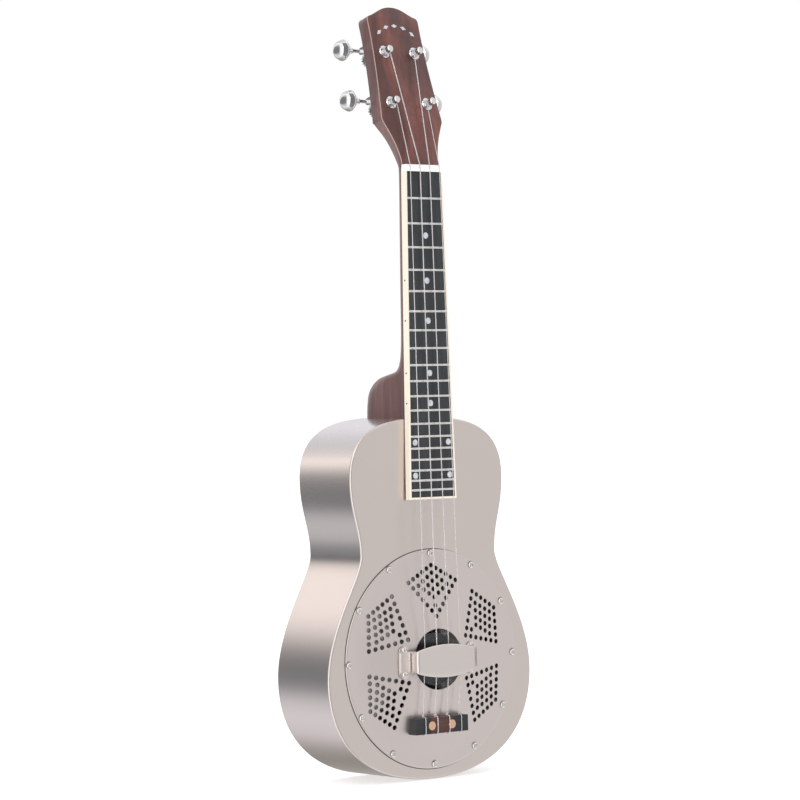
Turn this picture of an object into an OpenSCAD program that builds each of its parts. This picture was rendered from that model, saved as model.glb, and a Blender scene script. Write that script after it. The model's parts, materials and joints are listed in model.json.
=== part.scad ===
// Concert-size metal-body resonator ukulele.
// Origin: middle of the nut's front edge, on the plane where the fingerboard is glued to the neck.
// +Z runs up the neck, the playing side faces -Y, and +X is to the right of someone facing it.

/* [Scale and neck] */
// Open string length from the nut to the middle of the cone, in millimetres
scale_len = 381; // [350:1:430]
// Extra length at the saddle that keeps fretted notes in tune
saddle_setback = 4.6; // [2:0.2:6]
// Number of frets
fret_count = 19; // [15:1:19]
// Fingerboard width at the nut
nut_w = 38; // [35:0.5:42]
// Fingerboard width at its lower end
board_end_w = 48; // [44:0.5:54]
// Fingerboard thickness
board_t = 5.3; // [4:0.1:7]
// Length of the fingerboard below the nut
board_len = 261.4; // [255:0.1:268]
// Width of the cream binding round the fingerboard
binding_w = 1.7; // [1:0.1:2.5]
// Backward lean of the neck against the body, in degrees
neck_lean = 0.7; // [0.4:0.1:1.2]
// Depth of the neck behind the fingerboard, at the nut
neck_depth = 13; // [11:0.5:16]
// Depth of the heel behind the fingerboard, at the body
heel_depth = 60; // [50:1:62]
// Length of the nut along the neck
nut_len = 5.5; // [4:0.5:7]

/* [Headstock] */
// Backward lean of the headstock, in degrees
head_lean = 15; // [10:0.5:17]
// Wood thickness of the headstock, without its veneer
head_t = 11.8; // [10:0.1:14]
// Thickness of the rosewood veneer
veneer_t = 1.2; // [1:0.1:2]
// Height of the headstock's wood above the origin, measured across its face
head_rise = 2.32; // [1.5:0.01:2.5]
// Distance of the headstock's peak from the nut
head_len = 139.1; // [130:0.1:145]
// Half width at the shoulders
shoulder_hw = 30.7; // [29:0.1:34]
// Half width at the top corners
head_top_hw = 26; // [25:0.1:28.5]

/* [Body] */
// Length of the body
body_len = 289; // [280:1:300]
// Width of the upper bout
upper_bout_w = 157; // [150:1:165]
// Width of the waist
waist_w = 138.4; // [130:0.2:146]
// Width of the lower bout
lower_bout_w = 208.6; // [200:0.2:220]
// Depth of the body over both sheets
body_d = 67; // [60:1:70]
// Thickness of the body's sheet metal
sheet = 1.2; // [0.9:0.1:1.5]
// Distance of the body's top edge below the nut
body_drop = 195.6; // [193:0.1:198]
// Distance of the cover plate's centre below the body's top edge
plate_drop = 193.3; // [190:0.1:196]

/* [Cover plate and cone] */
// Radius of the cover plate
plate_r = 87.5; // [86:0.5:90]
// Radius of the hole in the middle of the cover plate
centre_hole_r = 24.2; // [22.5:0.1:25]
// Height of the cover plate at that hole
dome_h = 8.9; // [8:0.1:10]
// Number of screws round the cover plate
cover_screw_count = 12; // [8:1:16]
// Radius of the cover plate's screw circle
cover_screw_ring = 84.2; // [83:0.1:85]
// Radius of one perforation
perforation_r = 1.95; // [1.5:0.05:2.1]
// Radius of the cone over its rim
cone_r = 76.5; // [76:0.1:76.8]
// Depth of the ledge that the cone stands on, below the body's front
ledge_depth = 20; // [18:0.5:24]
// Radius of the wooden biscuit
biscuit_r = 21; // [20.8:0.1:22]

/* [Palm rest and tie block] */
// Half length of the palm rest between its feet
palm_hw = 29.8; // [29.5:0.1:32]
// Height of the palm rest above the body's front
palm_h = 19.2; // [18.5:0.1:22]
// Width of the palm rest at its ends
palm_end_w = 17.6; // [16:0.1:20]
// Width of the palm rest in the middle
palm_mid_w = 26.4; // [22:0.1:30]
// Length of the tie block across the strings
tie_len = 53.5; // [50:0.5:60]
// Width of the tie block along the strings
tie_w = 12.8; // [11:0.2:14]
// Height of the tie block's top above the body's front
tie_h = 11.6; // [11:0.1:12.4]

/* [Strings and tuners] */
// Spacing of the strings at the nut
nut_spacing = 10; // [9:0.5:10.5]
// Spacing of the strings at the saddle
saddle_spacing = 12.2; // [11.5:0.1:12.6]
// Spacing of the strings at the tie block
tie_spacing = 12.3; // [11.5:0.1:12.5]
// Number of teeth on a tuner's wheel
gear_teeth = 16; // [14:1:16]
// Module of the worm and its wheel
gear_module = 0.7; // [0.65:0.01:0.7]
// Radius of a tuner's knob
knob_r = 8.75; // [7:0.25:9]
// Radius of a string post
post_r = 2.9; // [2.8:0.1:3]

/* [Hidden] */
$fn = 48;
STRINGS = ["g", "c", "e", "a"];

// Colours
nickel = [0.77, 0.74, 0.71];
chrome = [0.85, 0.85, 0.86];
aluminium = [0.82, 0.83, 0.84];
steel = [0.72, 0.72, 0.71];
mahogany = [0.36, 0.17, 0.12];
rosewood = [0.30, 0.15, 0.12];
ebony = [0.10, 0.11, 0.12];
cream = [0.96, 0.90, 0.80];
pearl = [0.85, 0.87, 0.88];
bone = [0.95, 0.94, 0.90];
maple = [0.80, 0.62, 0.42];
copper = [0.85, 0.60, 0.40];
nylon = [0.90, 0.92, 0.94];

// Places along the neck and the body
body_top_z = -body_drop;
plate_z = body_top_z - plate_drop;
body_front_h = 1.7;
saddle_u = -(scale_len + saddle_setback) - plate_z;
fit = 0.05;

// Body outline: depth of each bout and the waist below the top edge, and lengths of the curve's handles
upper_bout_at = 48.6;
waist_at = 108.8;
lower_bout_at = 206.5;
outline_steps = 14;

// Cover plate, cone and soundwell
well_r = 78;
cone_top = -3.5;
biscuit_t = 7;
saddle_t = 3;
saddle_hw = 20.5;
cone_t = 0.8;

// Palm rest and tie block, as distances above the cover plate's centre
palm_u = -0.7;
palm_t = 1.2;
foot_len = 26;
foot_w = 9.6;
foot_screw_u = 9.6;
rim_t = 1;
rim_h = 1.5;
tie_u = -52.2;
tie_hole_h = tie_h - 1.6;
tie_hole_r = 0.9;
plug_x = 10.35;
plug_r = 3.5;

// Headstock and posts: [half spacing across, distance from the nut]
lower_posts = [18.4, 57];
upper_posts = [15.4, 100.1];
shoulder_at = 42.6;
head_back_h = head_rise - head_t;
face_h = head_rise + veneer_t;
veneer_start = 5.2;

// Tuner, measured from its post and the back of the headstock
worm_pitch_r = 2.6;
gear_pitch_r = gear_module * gear_teeth / 2;
worm_up = gear_pitch_r + worm_pitch_r;
worm_h = head_back_h - 8.5;
worm_lead = PI * gear_module;
worm_root_r = 1.8;
worm_tip_r = 3.2;
worm_half_len = 3.9;
thread_steps = 18;
gear_t = 3;
shaft_r = 1.5;
ear_x = 4.8;
ear_t = 1.2;
knob_rim_x = 25.5;
winding_h = face_h + 3.5;
winding_r = 2.4;
ferrule_r = 4;
plate_hole_r = post_r + 0.08;
tuner_screw_places = [-7.6, 13.2];

// Per string: [diameter, side of the headstock, post]
string_d = [0.72, 0.94, 0.86, 0.64];
string_post = [lower_posts, upper_posts, upper_posts, lower_posts];
function side(i) = i < 2 ? -1 : 1;
function spread(i, spacing) = (i - 1.5) * spacing;

// Frames. Inside each, X is across, Y runs up the neck and Z is height towards the player.
module front() { rotate([90, 0, 0]) children(); }
module on_body() { translate([0, -body_front_h, plate_z]) front() children(); }
module on_neck() { rotate([-neck_lean, 0, 0]) front() children(); }
module on_head() { rotate([-head_lean, 0, 0]) front() children(); }
module on_post(i) { on_head() translate([side(i) * string_post[i][0], string_post[i][1], 0]) children(); }

// [distance up the neck, height] of a point that lies s along and h above a frame leaning back
function leaned(s, h, lean) = [s * cos(lean) + h * sin(lean), h * cos(lean) - s * sin(lean)];

// Curves
function bezier(p, t) =
    pow(1 - t, 3) * p[0] + 3 * pow(1 - t, 2) * t * p[1] + 3 * (1 - t) * t * t * p[2] + pow(t, 3) * p[3];
function bezier_slope(p, t) =
    pow(1 - t, 2) * (p[1] - p[0]) + 2 * (1 - t) * t * (p[2] - p[1]) + t * t * (p[3] - p[2]);
function unit(v) = v / norm(v);
function curve(p, steps) = [for (i = [0:steps]) bezier(p, i / steps)];
function mirrored(points) = [for (i = [len(points) - 1:-1:0]) [-points[i].x, points[i].y]];

// Half of the body's outline, from the top down, moved inwards by inset
function body_curves() =
    let (ub = upper_bout_w / 2, w = waist_w / 2, lb = lower_bout_w / 2, top = plate_drop,
         zu = top - upper_bout_at, zw = top - waist_at, zl = top - lower_bout_at, end = top - body_len)
    [[[0, top], [53.5, top], [ub, zu + 35], [ub, zu]],
     [[ub, zu], [ub, zu - 26.5], [w, zw + 23.2], [w, zw]],
     [[w, zw], [w, zw - 16.1], [lb, zl + 41.9], [lb, zl]],
     [[lb, zl], [lb, zl - 47.3], [69.8, end], [0, end]]];
function half_outline(inset) =
    [for (c = body_curves(), i = [0:outline_steps - 1])
        let (t = i / outline_steps, d = unit(bezier_slope(c, t)))
        bezier(c, t) + inset * [d.y, -d.x]];
function body_outline(inset) =
    let (right = half_outline(inset), left = mirrored(right))
    concat(right, [[0, plate_drop - body_len + inset]], [for (i = [0:len(left) - 2]) left[i]]);

// Half widths of the headstock: the flare above the nut and the crown
flare = [[nut_w / 2, 4], [nut_w / 2, 18.6], [24, 28.6], [shoulder_hw - 0.7, shoulder_at - 2]];
flare_steps = 9;
crown_at = head_len - 8;
function head_half() =
    concat(curve(flare, flare_steps),
           [[shoulder_hw - 0.1, shoulder_at - 0.6], [shoulder_hw, shoulder_at + 1]],
           curve([[shoulder_hw, shoulder_at + 2], [28, shoulder_at + 26], [25.2, crown_at - 30.5],
                  [head_top_hw, crown_at - 4.5]], 8),
           [[head_top_hw - 0.3, crown_at - 2.4], [head_top_hw - 1.2, crown_at - 0.7]],
           curve([[head_top_hw - 3, crown_at], [16, crown_at + 2], [11, head_len], [0, head_len]], 8));
function flare_t(s, low = 0, high = 1, n = 20) =
    let (mid = (low + high) / 2)
    n == 0 ? mid : bezier(flare, mid).y < s ? flare_t(s, mid, high, n - 1) : flare_t(s, low, mid, n - 1);
function head_hw(s) = bezier(flare, flare_t(s)).x;

// Fingerboard
function board_hw(s) = nut_w / 2 + (board_end_w - nut_w) / 2 * -s / board_len;
function fret_s(n) = -scale_len * (1 - pow(2, -n / 12));
function space_s(n) = (fret_s(n) + fret_s(n - 1)) / 2;
single_dots = [3, 5, 7, 10, 12];
double_dots = [[15, 17.1], [18, 17.6]];
dot_places = concat([for (n = single_dots) [0, space_s(n)]],
                    [for (d = double_dots, x = [-1, 1]) [x * d[1], space_s(d[0])]]);
dot_r = 2.5;
dot_t = 1.5;
fret_w = 2;
fret_h = 0.9;
tang_w = 0.6;
tang_h = 1.6;

// Height of the cover plate's outer surface at radius r
dome_start_r = 82;
plate_profile = concat([[plate_r, sheet]],
                       curve([[dome_start_r, sheet], [70, sheet], [42, dome_h - 2.3], [centre_hole_r, dome_h]], 14));

// A closed tube of radius r through points, with k sides
function ring(c, t, r, k) =
    let (e1 = unit([1, 0, 0] - t.x * t), e2 = cross(t, e1))
    [for (i = [0:k - 1]) c + r * (cos(360 * i / k) * e1 + sin(360 * i / k) * e2)];
function skin_faces(rings, k) =
    concat([[for (i = [0:k - 1]) i]],
           [for (j = [0:rings - 2], i = [0:k - 1]) let (a = j * k + i, b = j * k + (i + 1) % k)
                [a, b + k, b]],
           [for (j = [0:rings - 2], i = [0:k - 1]) let (a = j * k + i, b = j * k + (i + 1) % k)
                [a, a + k, b + k]],
           [[for (i = [0:k - 1]) rings * k - 1 - i]]);
module tube(points, r, k = 8) {
    n = len(points);
    rings = [for (i = [0:n - 1])
        ring(points[i], unit(points[min(i + 1, n - 1)] - points[max(i - 1, 0)]), r, k)];
    polyhedron([for (q = rings, v = q) v], skin_faces(n, k));
}

// A skin over a list of rings with k points each
module skin(rings, k) { polyhedron([for (q = rings, v = q) v], skin_faces(len(rings), k)); }

module slab(h0, h1) { translate([0, 0, h0]) linear_extrude(h1 - h0) children(); }
module pin(r, h0, h1) { translate([0, 0, h0]) cylinder(r = r, h = h1 - h0); }
module at(p) { translate([p.x, p.y, 0]) children(); }
module stadium(w, len) {
    for (s = [-1, 1]) translate([0, s * (len - w) / 2]) circle(d = w);
    square([w, len - w], center = true);
}
module round_plate(w, s0, s1) { translate([0, (s0 + s1) / 2]) stadium(w, s1 - s0); }

// Pan-head screw with a cross recess, its head standing on height 0
module pan_screw(head_r, head_h, shank_r, shank_l) {
    difference() {
        union() {
            rotate_extrude() polygon([[0, 0], [head_r, 0], [head_r, head_h * 0.35],
                                      [head_r * 0.82, head_h * 0.8], [head_r * 0.45, head_h], [0, head_h]]);
            pin(shank_r, -shank_l, 0.01);
        }
        for (a = [0, 90]) rotate(a)
            translate([-head_r * 0.5, -head_r * 0.11, head_h * 0.45]) cube([head_r, head_r * 0.22, head_h]);
    }
}

// Body shell
module cover_screw_places() {
    for (i = [0:cover_screw_count - 1]) rotate(360 * i / cover_screw_count)
        translate([0, cover_screw_ring]) children();
}
module body_front() {
    color(nickel) on_body() difference() {
        slab(-sheet, 0) difference() {
            polygon(body_outline(0));
            circle(well_r - 1);
        }
        cover_screw_places() pin(1.3, -sheet - 1, 1);
    }
}
bolt_heights = [-17, -51];
bolt_r = 2;
module bolt_holes() {
    for (h = bolt_heights) translate([0, plate_drop - 40, h]) rotate([-90, 0, 0]) cylinder(r = bolt_r, h = 58);
}
module body_sides() {
    color(nickel) on_body() difference() {
        slab(sheet - body_d, -sheet) difference() {
            polygon(body_outline(0));
            polygon(body_outline(sheet));
        }
        bolt_holes();
    }
}
module body_back() {
    color(nickel) on_body() slab(-body_d, sheet - body_d) polygon(body_outline(0));
}

// Soundwell: flange under the front, a wall, and the ledge for the cone's rim
module soundwell() {
    color(aluminium) on_body() difference() {
        rotate_extrude() polygon([[well_r - 1, -sheet], [plate_r - 0.5, -sheet], [plate_r - 0.5, -sheet - 1],
                                  [well_r, -sheet - 1], [well_r, -ledge_depth - 1], [70, -ledge_depth - 1],
                                  [70, -ledge_depth], [well_r - 1, -ledge_depth]]);
        cover_screw_places() pin(1, -sheet - 2, 0);
    }
}

// Woodwork inside the body
stick_w = 12;
stick_front_h = -30;
stick_back_h = -44;
block_bottom_u = plate_drop - 26;
module heel_block() {
    color(mahogany) on_body() difference() {
        slab(-56, -8) intersection() {
            polygon(body_outline(sheet + fit));
            translate([-22, block_bottom_u]) square([44, 40]);
        }
        bolt_holes();
    }
}
module neck_bolts() {
    color(chrome) on_body() for (h = bolt_heights)
        translate([0, block_bottom_u, h]) rotate([-90, 0, 0]) {
            pin(bolt_r, 0, 38);
            pin(3.8, -2.6, 0);
        }
}
module neck_stick() {
    color(maple) on_body() slab(stick_back_h, stick_front_h)
        translate([-stick_w / 2, plate_drop - body_len + 1.6])
            square([stick_w, block_bottom_u - 12 - (plate_drop - body_len + 1.6)]);
    color(maple) on_body() slab(stick_back_h, stick_front_h)
        translate([-stick_w / 2 + 2, block_bottom_u - 13]) square([stick_w - 4, 13]);
}
module stick_supports() {
    color(maple) on_body() for (u = [-60, 60])
        slab(sheet - body_d, stick_back_h) translate([-stick_w / 2, u - 7]) square([stick_w, 14]);
}

// Cone, biscuit and saddle
module resonator_cone() {
    outer = [[0, cone_top], [biscuit_r, cone_top], [23, cone_top - 0.7], [70, 1.8 - ledge_depth],
             [72, 0.8 - ledge_depth], [cone_r, 0.8 - ledge_depth]];
    inner = [for (i = [len(outer) - 1:-1:0]) outer[i] - [0, cone_t]];
    color(aluminium) on_body() difference() {
        rotate_extrude() polygon(concat(outer, inner));
        pin(1.4, cone_top - 2, cone_top + 1);
    }
}
module biscuit() {
    color(ebony) on_body() difference() {
        pin(biscuit_r, cone_top, cone_top + biscuit_t);
        translate([-saddle_hw - 1, saddle_u - saddle_t / 2, cone_top + biscuit_t - 3])
            cube([2 * saddle_hw + 2, saddle_t, 4]);
        pin(1, cone_top - 1, cone_top + 3.5);
    }
}
module biscuit_screw() {
    color(chrome) on_body() {
        pin(1, cone_top - cone_t, cone_top + 3.5);
        pin(3, cone_top - cone_t - 1.6, cone_top - cone_t);
    }
}
saddle_top = 14.1;
module saddle() {
    color(maple) on_body() difference() {
        translate([0, saddle_u + saddle_t / 2, 0]) rotate([90, 0, 0]) linear_extrude(saddle_t)
            polygon([[-saddle_hw, cone_top + biscuit_t - 3], [saddle_hw, cone_top + biscuit_t - 3],
                     [saddle_hw, saddle_top - 2], [saddle_hw - 1, saddle_top], [1 - saddle_hw, saddle_top],
                     [-saddle_hw, saddle_top - 2]]);
        for (i = [0:3]) translate([spread(i, saddle_spacing), saddle_u + saddle_t, saddle_top + 0.3])
            rotate([90, 0, 0]) cylinder(r = 0.55, h = 2 * saddle_t);
    }
}

// Perforations: kite-shaped groups of holes, with the place under the tie block left whole
kite_turn = 60;
kite_top = 74.8;
kite_side = [24.2, 61.8];
kite_bottom = 34.3;
outer_edge_holes = 6;
inner_edge_holes = 7;
kite_grid = 4;
kite_grid_step = [4.9, 3.25];
function lerp(a, b, t) = a + (b - a) * t;
function kite_edge() =
    concat([for (i = [0:outer_edge_holes - 1]) lerp([0, kite_top], kite_side, i / (outer_edge_holes - 1))],
           [for (i = [1:inner_edge_holes - 1]) lerp(kite_side, [0, kite_bottom], i / (inner_edge_holes - 1))]);
function kite_holes() =
    concat(kite_edge(),
           [for (p = kite_edge()) if (p.x > 0.1) [-p.x, p.y]],
           [for (i = [0:kite_grid - 1], j = [0:kite_grid - 1])
               [kite_grid_step.x * (i - j), kite_top - 6 - kite_grid_step.y * (i + j)]],
           [[0, kite_bottom + 8.5]]);
module cover_plate() {
    inner = [for (i = [len(plate_profile) - 1:-1:0]) plate_profile[i] - [0, sheet]];
    color(nickel) on_body() difference() {
        rotate_extrude($fn = 120) polygon(concat(plate_profile, inner));
        for (k = [-2:2], p = kite_holes())
            rotate(kite_turn * k) at(p) pin(perforation_r, -1, dome_h + 1);
        cover_screw_places() pin(1.3, -1, sheet + 1);
        for (s = [-1, 1]) translate([s * plug_x, tie_u, 0]) pin(1.5, 0, dome_h);
    }
}
module cover_screws() {
    color(chrome) on_body() cover_screw_places() translate([0, 0, sheet]) pan_screw(2.6, 1.5, 1, 4);
}

// Palm rest: a bridge of bent sheet over the saddle, on two feet that follow the plate's slope
foot_lean = 7.3;
foot_h = 8.2;
function bow(end, mid, steps) =
    [for (i = [0:steps]) let (t = 2 * i / steps - 1) [palm_hw * t, end + (mid - end) * (1 - t * t)]];
module palm_foot(s) {
    translate([s * palm_hw, palm_u, foot_h]) rotate([0, s * foot_lean, 0])
        translate([s * foot_w / 2, 0, 0]) children();
}
module palm_foot_screws() {
    for (s = [-1, 1], u = [-foot_screw_u, foot_screw_u + 0.5])
        palm_foot(s) translate([0, u, palm_t]) children();
}
module palm_rest() {
    edge = bow(palm_end_w / 2, palm_mid_w / 2, 16);
    color(nickel) on_body() difference() {
        union() {
            translate([0, palm_u, palm_h - palm_t]) linear_extrude(palm_t)
                polygon(concat(edge, [for (p = edge) [-p.x, -p.y]]));
            for (s = [-1, 1]) {
                translate([s * (palm_hw - palm_t / 2), palm_u, (foot_h + palm_h) / 2 + 0.2])
                    cube([palm_t, palm_end_w, palm_h - foot_h], center = true);
                palm_foot(s) linear_extrude(palm_t) stadium(foot_w, foot_len);
                palm_foot(s) for (edge_x = [-1, 1])
                    translate([edge_x * (foot_w / 2 - rim_t / 2), 0, palm_t + rim_h / 2 - 0.05])
                        cube([rim_t, foot_len - foot_w, rim_h + 0.1], center = true);
            }
        }
        palm_foot_screws() pin(1.1, -3, 1);
    }
}
module palm_rest_screws() {
    color(chrome) on_body() palm_foot_screws() pan_screw(2.2, 1.3, 1.1, palm_t);
}

// Tie block: it stands on the plate's slope, with four string holes
module tie_block() {
    under = [for (p = plate_profile) p + [0, fit]];
    color(rosewood) on_body() difference() {
        translate([0, tie_u, 0]) slab(1, tie_h) square([tie_len, tie_w], center = true);
        rotate_extrude($fn = 120) polygon(concat([[0, 0], [plate_r, 0]], under, [[0, dome_h + fit]]));
        for (i = [0:3]) translate([spread(i, tie_spacing), tie_u + tie_w, tie_hole_h])
            rotate([90, 0, 0]) cylinder(r = tie_hole_r, h = 2 * tie_w);
        for (s = [-1, 1]) translate([s * plug_x, tie_u, 0]) {
            pin(plug_r, tie_h - 2, tie_h + 1);
            pin(3, tie_h - 3.6, tie_h - 1);
            pin(1.5, 0, tie_h);
        }
    }
}
module tie_block_screws() {
    color(chrome) on_body() for (s = [-1, 1]) translate([s * plug_x, tie_u, 0]) {
        pin(3, tie_h - 3.6, tie_h - 2);
        pin(1.5, tie_h - 9, tie_h - 3.6);
    }
}
module tie_block_plugs() {
    color(copper) on_body() for (s = [-1, 1]) translate([s * plug_x, tie_u, 0])
        pin(plug_r, tie_h - 2, tie_h + 0.1);
}

// Neck: [distance up the neck, depth behind the glue plane, squareness of the back]
neck_sections = [
    [-200, heel_depth, 4.5], [-185, heel_depth - 0.6, 4.5], [-175, heel_depth - 2.5, 4.2],
    [-168, heel_depth - 8, 3.8], [-163.7, heel_depth - 15.5, 3.4], [-161.3, heel_depth - 25, 2.9],
    [-159.5, 26, 2.5], [-157, 21, 2.3], [-152, 17.4, 2.2], [-144, 15.4, 2.1], [-130, 14.6, 2],
    [-90, 14.2, 2], [-45, neck_depth + 0.6, 2], [-10, neck_depth, 2], [0, neck_depth + 0.2, 2]];
// Transition into the headstock: [distance from the nut, depth behind the face, squareness]
volute_sections = [[6, 15, 2], [12, 15.8, 2.1], [18, 16, 2.3], [24, 15.4, 2.7], [29, 14.2, 3.4],
                   [34, 13, 5], [38.5, 12.2, 9], [shoulder_at + 1, head_t, 30]];
neck_ring = 24;
function section(s, h, lean, hw, depth, n) =
    [for (i = [0:neck_ring - 1])
        let (a = 180 * i / (neck_ring - 1), c = cos(a), d = pow(abs(sin(a)), 2 / n),
             p = leaned(s, h - depth * d, lean))
        [hw * sign(c) * pow(abs(c), 2 / n), p.x, p.y]];
module neck_loft() {
    side_step = 0.5;
    low = [for (q = neck_sections) section(q[0], 0, neck_lean, board_hw(q[0]) - side_step, q[1], q[2])];
    high = [for (q = volute_sections)
        section(q[0], head_rise, head_lean, q[0] > shoulder_at ? shoulder_hw : head_hw(q[0]), q[1], q[2])];
    front() skin(concat(low, high), neck_ring);
}
module head_outline(start) {
    right = [for (p = head_half()) if (p.y >= start) p];
    first = start > shoulder_at - 3 ? [shoulder_hw, start] : [head_hw(start), start];
    polygon(concat([first], right, mirrored(right), [[-first.x, first.y]]));
}
module tuner_holes() {
    for (i = [0:3]) on_post(i) {
        pin(ferrule_r, head_back_h - 1, face_h + 1);
        for (s = tuner_screw_places) at([0, s]) pin(1, head_back_h - 1, head_back_h + 7);
    }
}
module neck() {
    tongue_end = board_len - 2;
    color(mahogany) difference() {
        union() {
            neck_loft();
            on_head() slab(head_back_h, head_rise) head_outline(shoulder_at);
            // Tongue that fills the wedge between the body and the fingerboard
            rotate([90, 0, 90]) linear_extrude(board_end_w - 5, center = true)
                polygon([[-body_front_h, -body_drop - 1], [-body_front_h, -tongue_end],
                         [-tongue_end * sin(neck_lean), -tongue_end], [-185 * sin(neck_lean), -185],
                         [4, -185], [4, -body_drop + 0.5], [-body_front_h, -body_drop + 0.5]]);
        }
        on_body() slab(-body_d - 5, 0) polygon(body_outline(0));
        on_body() bolt_holes();
        tuner_holes();
    }
}
module headstock_veneer() {
    color(rosewood) difference() {
        on_head() slab(head_rise, face_h) head_outline(veneer_start);
        tuner_holes();
    }
}
// Plain arch of five small lozenges, flush in the veneer
module headstock_inlay() {
    arch_r = 26;
    color(pearl) on_head() slab(face_h, face_h + 0.06)
        for (a = [-40:20:40]) translate([arch_r * sin(a), head_len - 42 + arch_r * cos(a)])
            rotate(-a) polygon([[-3, 0], [0, -1.6], [3, 0], [0, 1.6]]);
}

// Fingerboard, binding, frets and markers
module board_shape(inset) {
    polygon([[-board_hw(0) + inset, 0], [board_hw(0) - inset, 0],
             [board_hw(-board_len) - inset, inset - board_len],
             [-board_hw(-board_len) + inset, inset - board_len]]);
}
module fingerboard() {
    color(ebony) on_neck() difference() {
        slab(0, board_t) board_shape(binding_w);
        for (n = [1:fret_count])
            translate([-board_end_w, fret_s(n) - tang_w / 2, board_t - tang_h]) cube([2 * board_end_w, tang_w, 3]);
        for (p = dot_places) at(p) pin(dot_r, board_t - dot_t, board_t + 1);
    }
}
module fingerboard_binding() {
    color(cream) on_neck() difference() {
        slab(0, board_t) difference() {
            board_shape(0);
            board_shape(binding_w);
        }
        for (p = side_dot_places()) side_dot(p, 1);
    }
}
module frets() {
    color(chrome) on_neck() for (n = [1:fret_count]) {
        half = board_hw(fret_s(n)) - binding_w - 0.1;
        translate([-half, fret_s(n), board_t]) rotate([90, 0, 90]) linear_extrude(2 * half)
            polygon([[-tang_w / 2, -tang_h], [tang_w / 2, -tang_h], [tang_w / 2, 0], [fret_w / 2, 0],
                     [fret_w / 2, 0.3], [fret_w * 0.32, fret_h * 0.8], [0.2, fret_h], [-0.2, fret_h],
                     [-fret_w * 0.32, fret_h * 0.8], [-fret_w / 2, 0.3], [-fret_w / 2, 0],
                     [-tang_w / 2, 0]]);
    }
}
module position_dots() {
    color(pearl) on_neck() for (p = dot_places) at(p) pin(dot_r, board_t - dot_t, board_t + 0.05);
}
function side_dot_places() = [for (n = [5, 7, 10, 12]) space_s(n)];
module side_dot(s, proud) {
    translate([-board_hw(s), s, board_t / 2]) rotate([0, 90, 0])
        translate([0, 0, -proud]) cylinder(r = 0.75, h = 0.8 + proud);
}
module side_dots() {
    color(ebony) on_neck() for (s = side_dot_places()) side_dot(s, 0.03);
}
nut_top = 7.1;
nut_seat = 0.62;
module nut() {
    color(bone) difference() {
        rotate([90, 0, 90]) linear_extrude(nut_w - 0.2, center = true)
            polygon([[0, 0], [-nut_top, nut_top * tan(neck_lean)], [-nut_top, 1.4],
                     [-nut_top + 0.9, nut_len], [-nut_seat, nut_len]]);
        for (i = [0:3]) tube([[spread(i, nut_spacing), -nut_top, -2],
                              [spread(i, nut_spacing), -nut_top + 1, nut_len + 2]], string_d[i] / 2 + fit, 16);
    }
}

// Strings, from the post over the nut and the saddle, through the tie block and back over it
function to_front(p, lean) = let (q = leaned(p.y, p.z, lean)) [p.x, q.x, q.y];
function on_body_pt(p) = [p.x, p.y + plate_z, p.z + body_front_h];
function string_points(i) =
    let (post = string_post[i], r = string_d[i] / 2, nx = spread(i, nut_spacing), tx = spread(i, tie_spacing),
         touch = to_front([side(i) * (post.x - winding_r - r), post.y, winding_h], head_lean),
         over_nut = [nx, nut_len, nut_top - 0.55], free_end = touch + unit(over_nut - touch) * 3.2,
         back = tie_u - tie_w / 2 - 0.8, fore = tie_u + tie_w / 2 + 0.9, top = tie_h + r + fit,
         shift = 1.25)
    concat([free_end, over_nut, [nx, 0.2, nut_top - 0.1]],
           [for (p = [[spread(i, saddle_spacing), saddle_u, saddle_top + r - 0.1],
                      [tx, fore - 0.2, tie_hole_h + 0.1], [tx, back + 0.4, tie_hole_h],
                      [tx + shift * 0.4, back, tie_hole_h + 0.7], [tx + shift, back + 0.2, top - 0.3],
                      [tx + shift, back + 1.2, top], [tx + shift, fore - 1, top],
                      [tx + shift, fore, top - 0.5], [tx + shift, fore + 0.1, tie_hole_h - 1]])
               on_body_pt(p)]);
module string_of(i) { color(nylon) front() tube(string_points(i), string_d[i] / 2); }

// Tuners. Each turns a worm, which turns the wheel on the post's end.
module winding_of(i) {
    d = string_d[i];
    color(nylon) on_post(i) rotate_extrude() intersection() {
        for (k = [-1:1]) translate([winding_r + d / 2, winding_h + k * d * 0.85]) circle(d = d, $fn = 24);
        translate([winding_r + 0.001, 0]) square([d, winding_h + 3]);
    }
}
post_top = face_h + 9;
module post_of(i) {
    color(chrome) on_post(i) difference() {
        rotate_extrude() polygon([
            [0, worm_h - 1.5], [1.6, worm_h - 1.5], [1.6, worm_h + 1.5], [post_r, worm_h + 1.5],
            [post_r, head_back_h - 2], [3.8, head_back_h - 2], [3.8, head_back_h - 1.1],
            [post_r, head_back_h - 1.1], [post_r, winding_h - 1.4], [winding_r, winding_h - 1.2],
            [winding_r, winding_h + 1.4], [post_r, winding_h + 2], [post_r, post_top - 0.7],
            [post_r - 0.7, post_top], [0, post_top]]);
        pin(0.8, worm_h - 2, worm_h + 3);
        translate([-5, 0, winding_h + 3.2]) rotate([0, 90, 0]) cylinder(r = 0.8, h = 10);
    }
}
gear_tip_r = gear_pitch_r + 0.55;
gear_root_r = gear_pitch_r - 0.9;
tooth_half = 0.42;
flank = tan(20);
function tooth_corner(r) = tooth_half - (r - gear_pitch_r) * flank;
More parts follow.
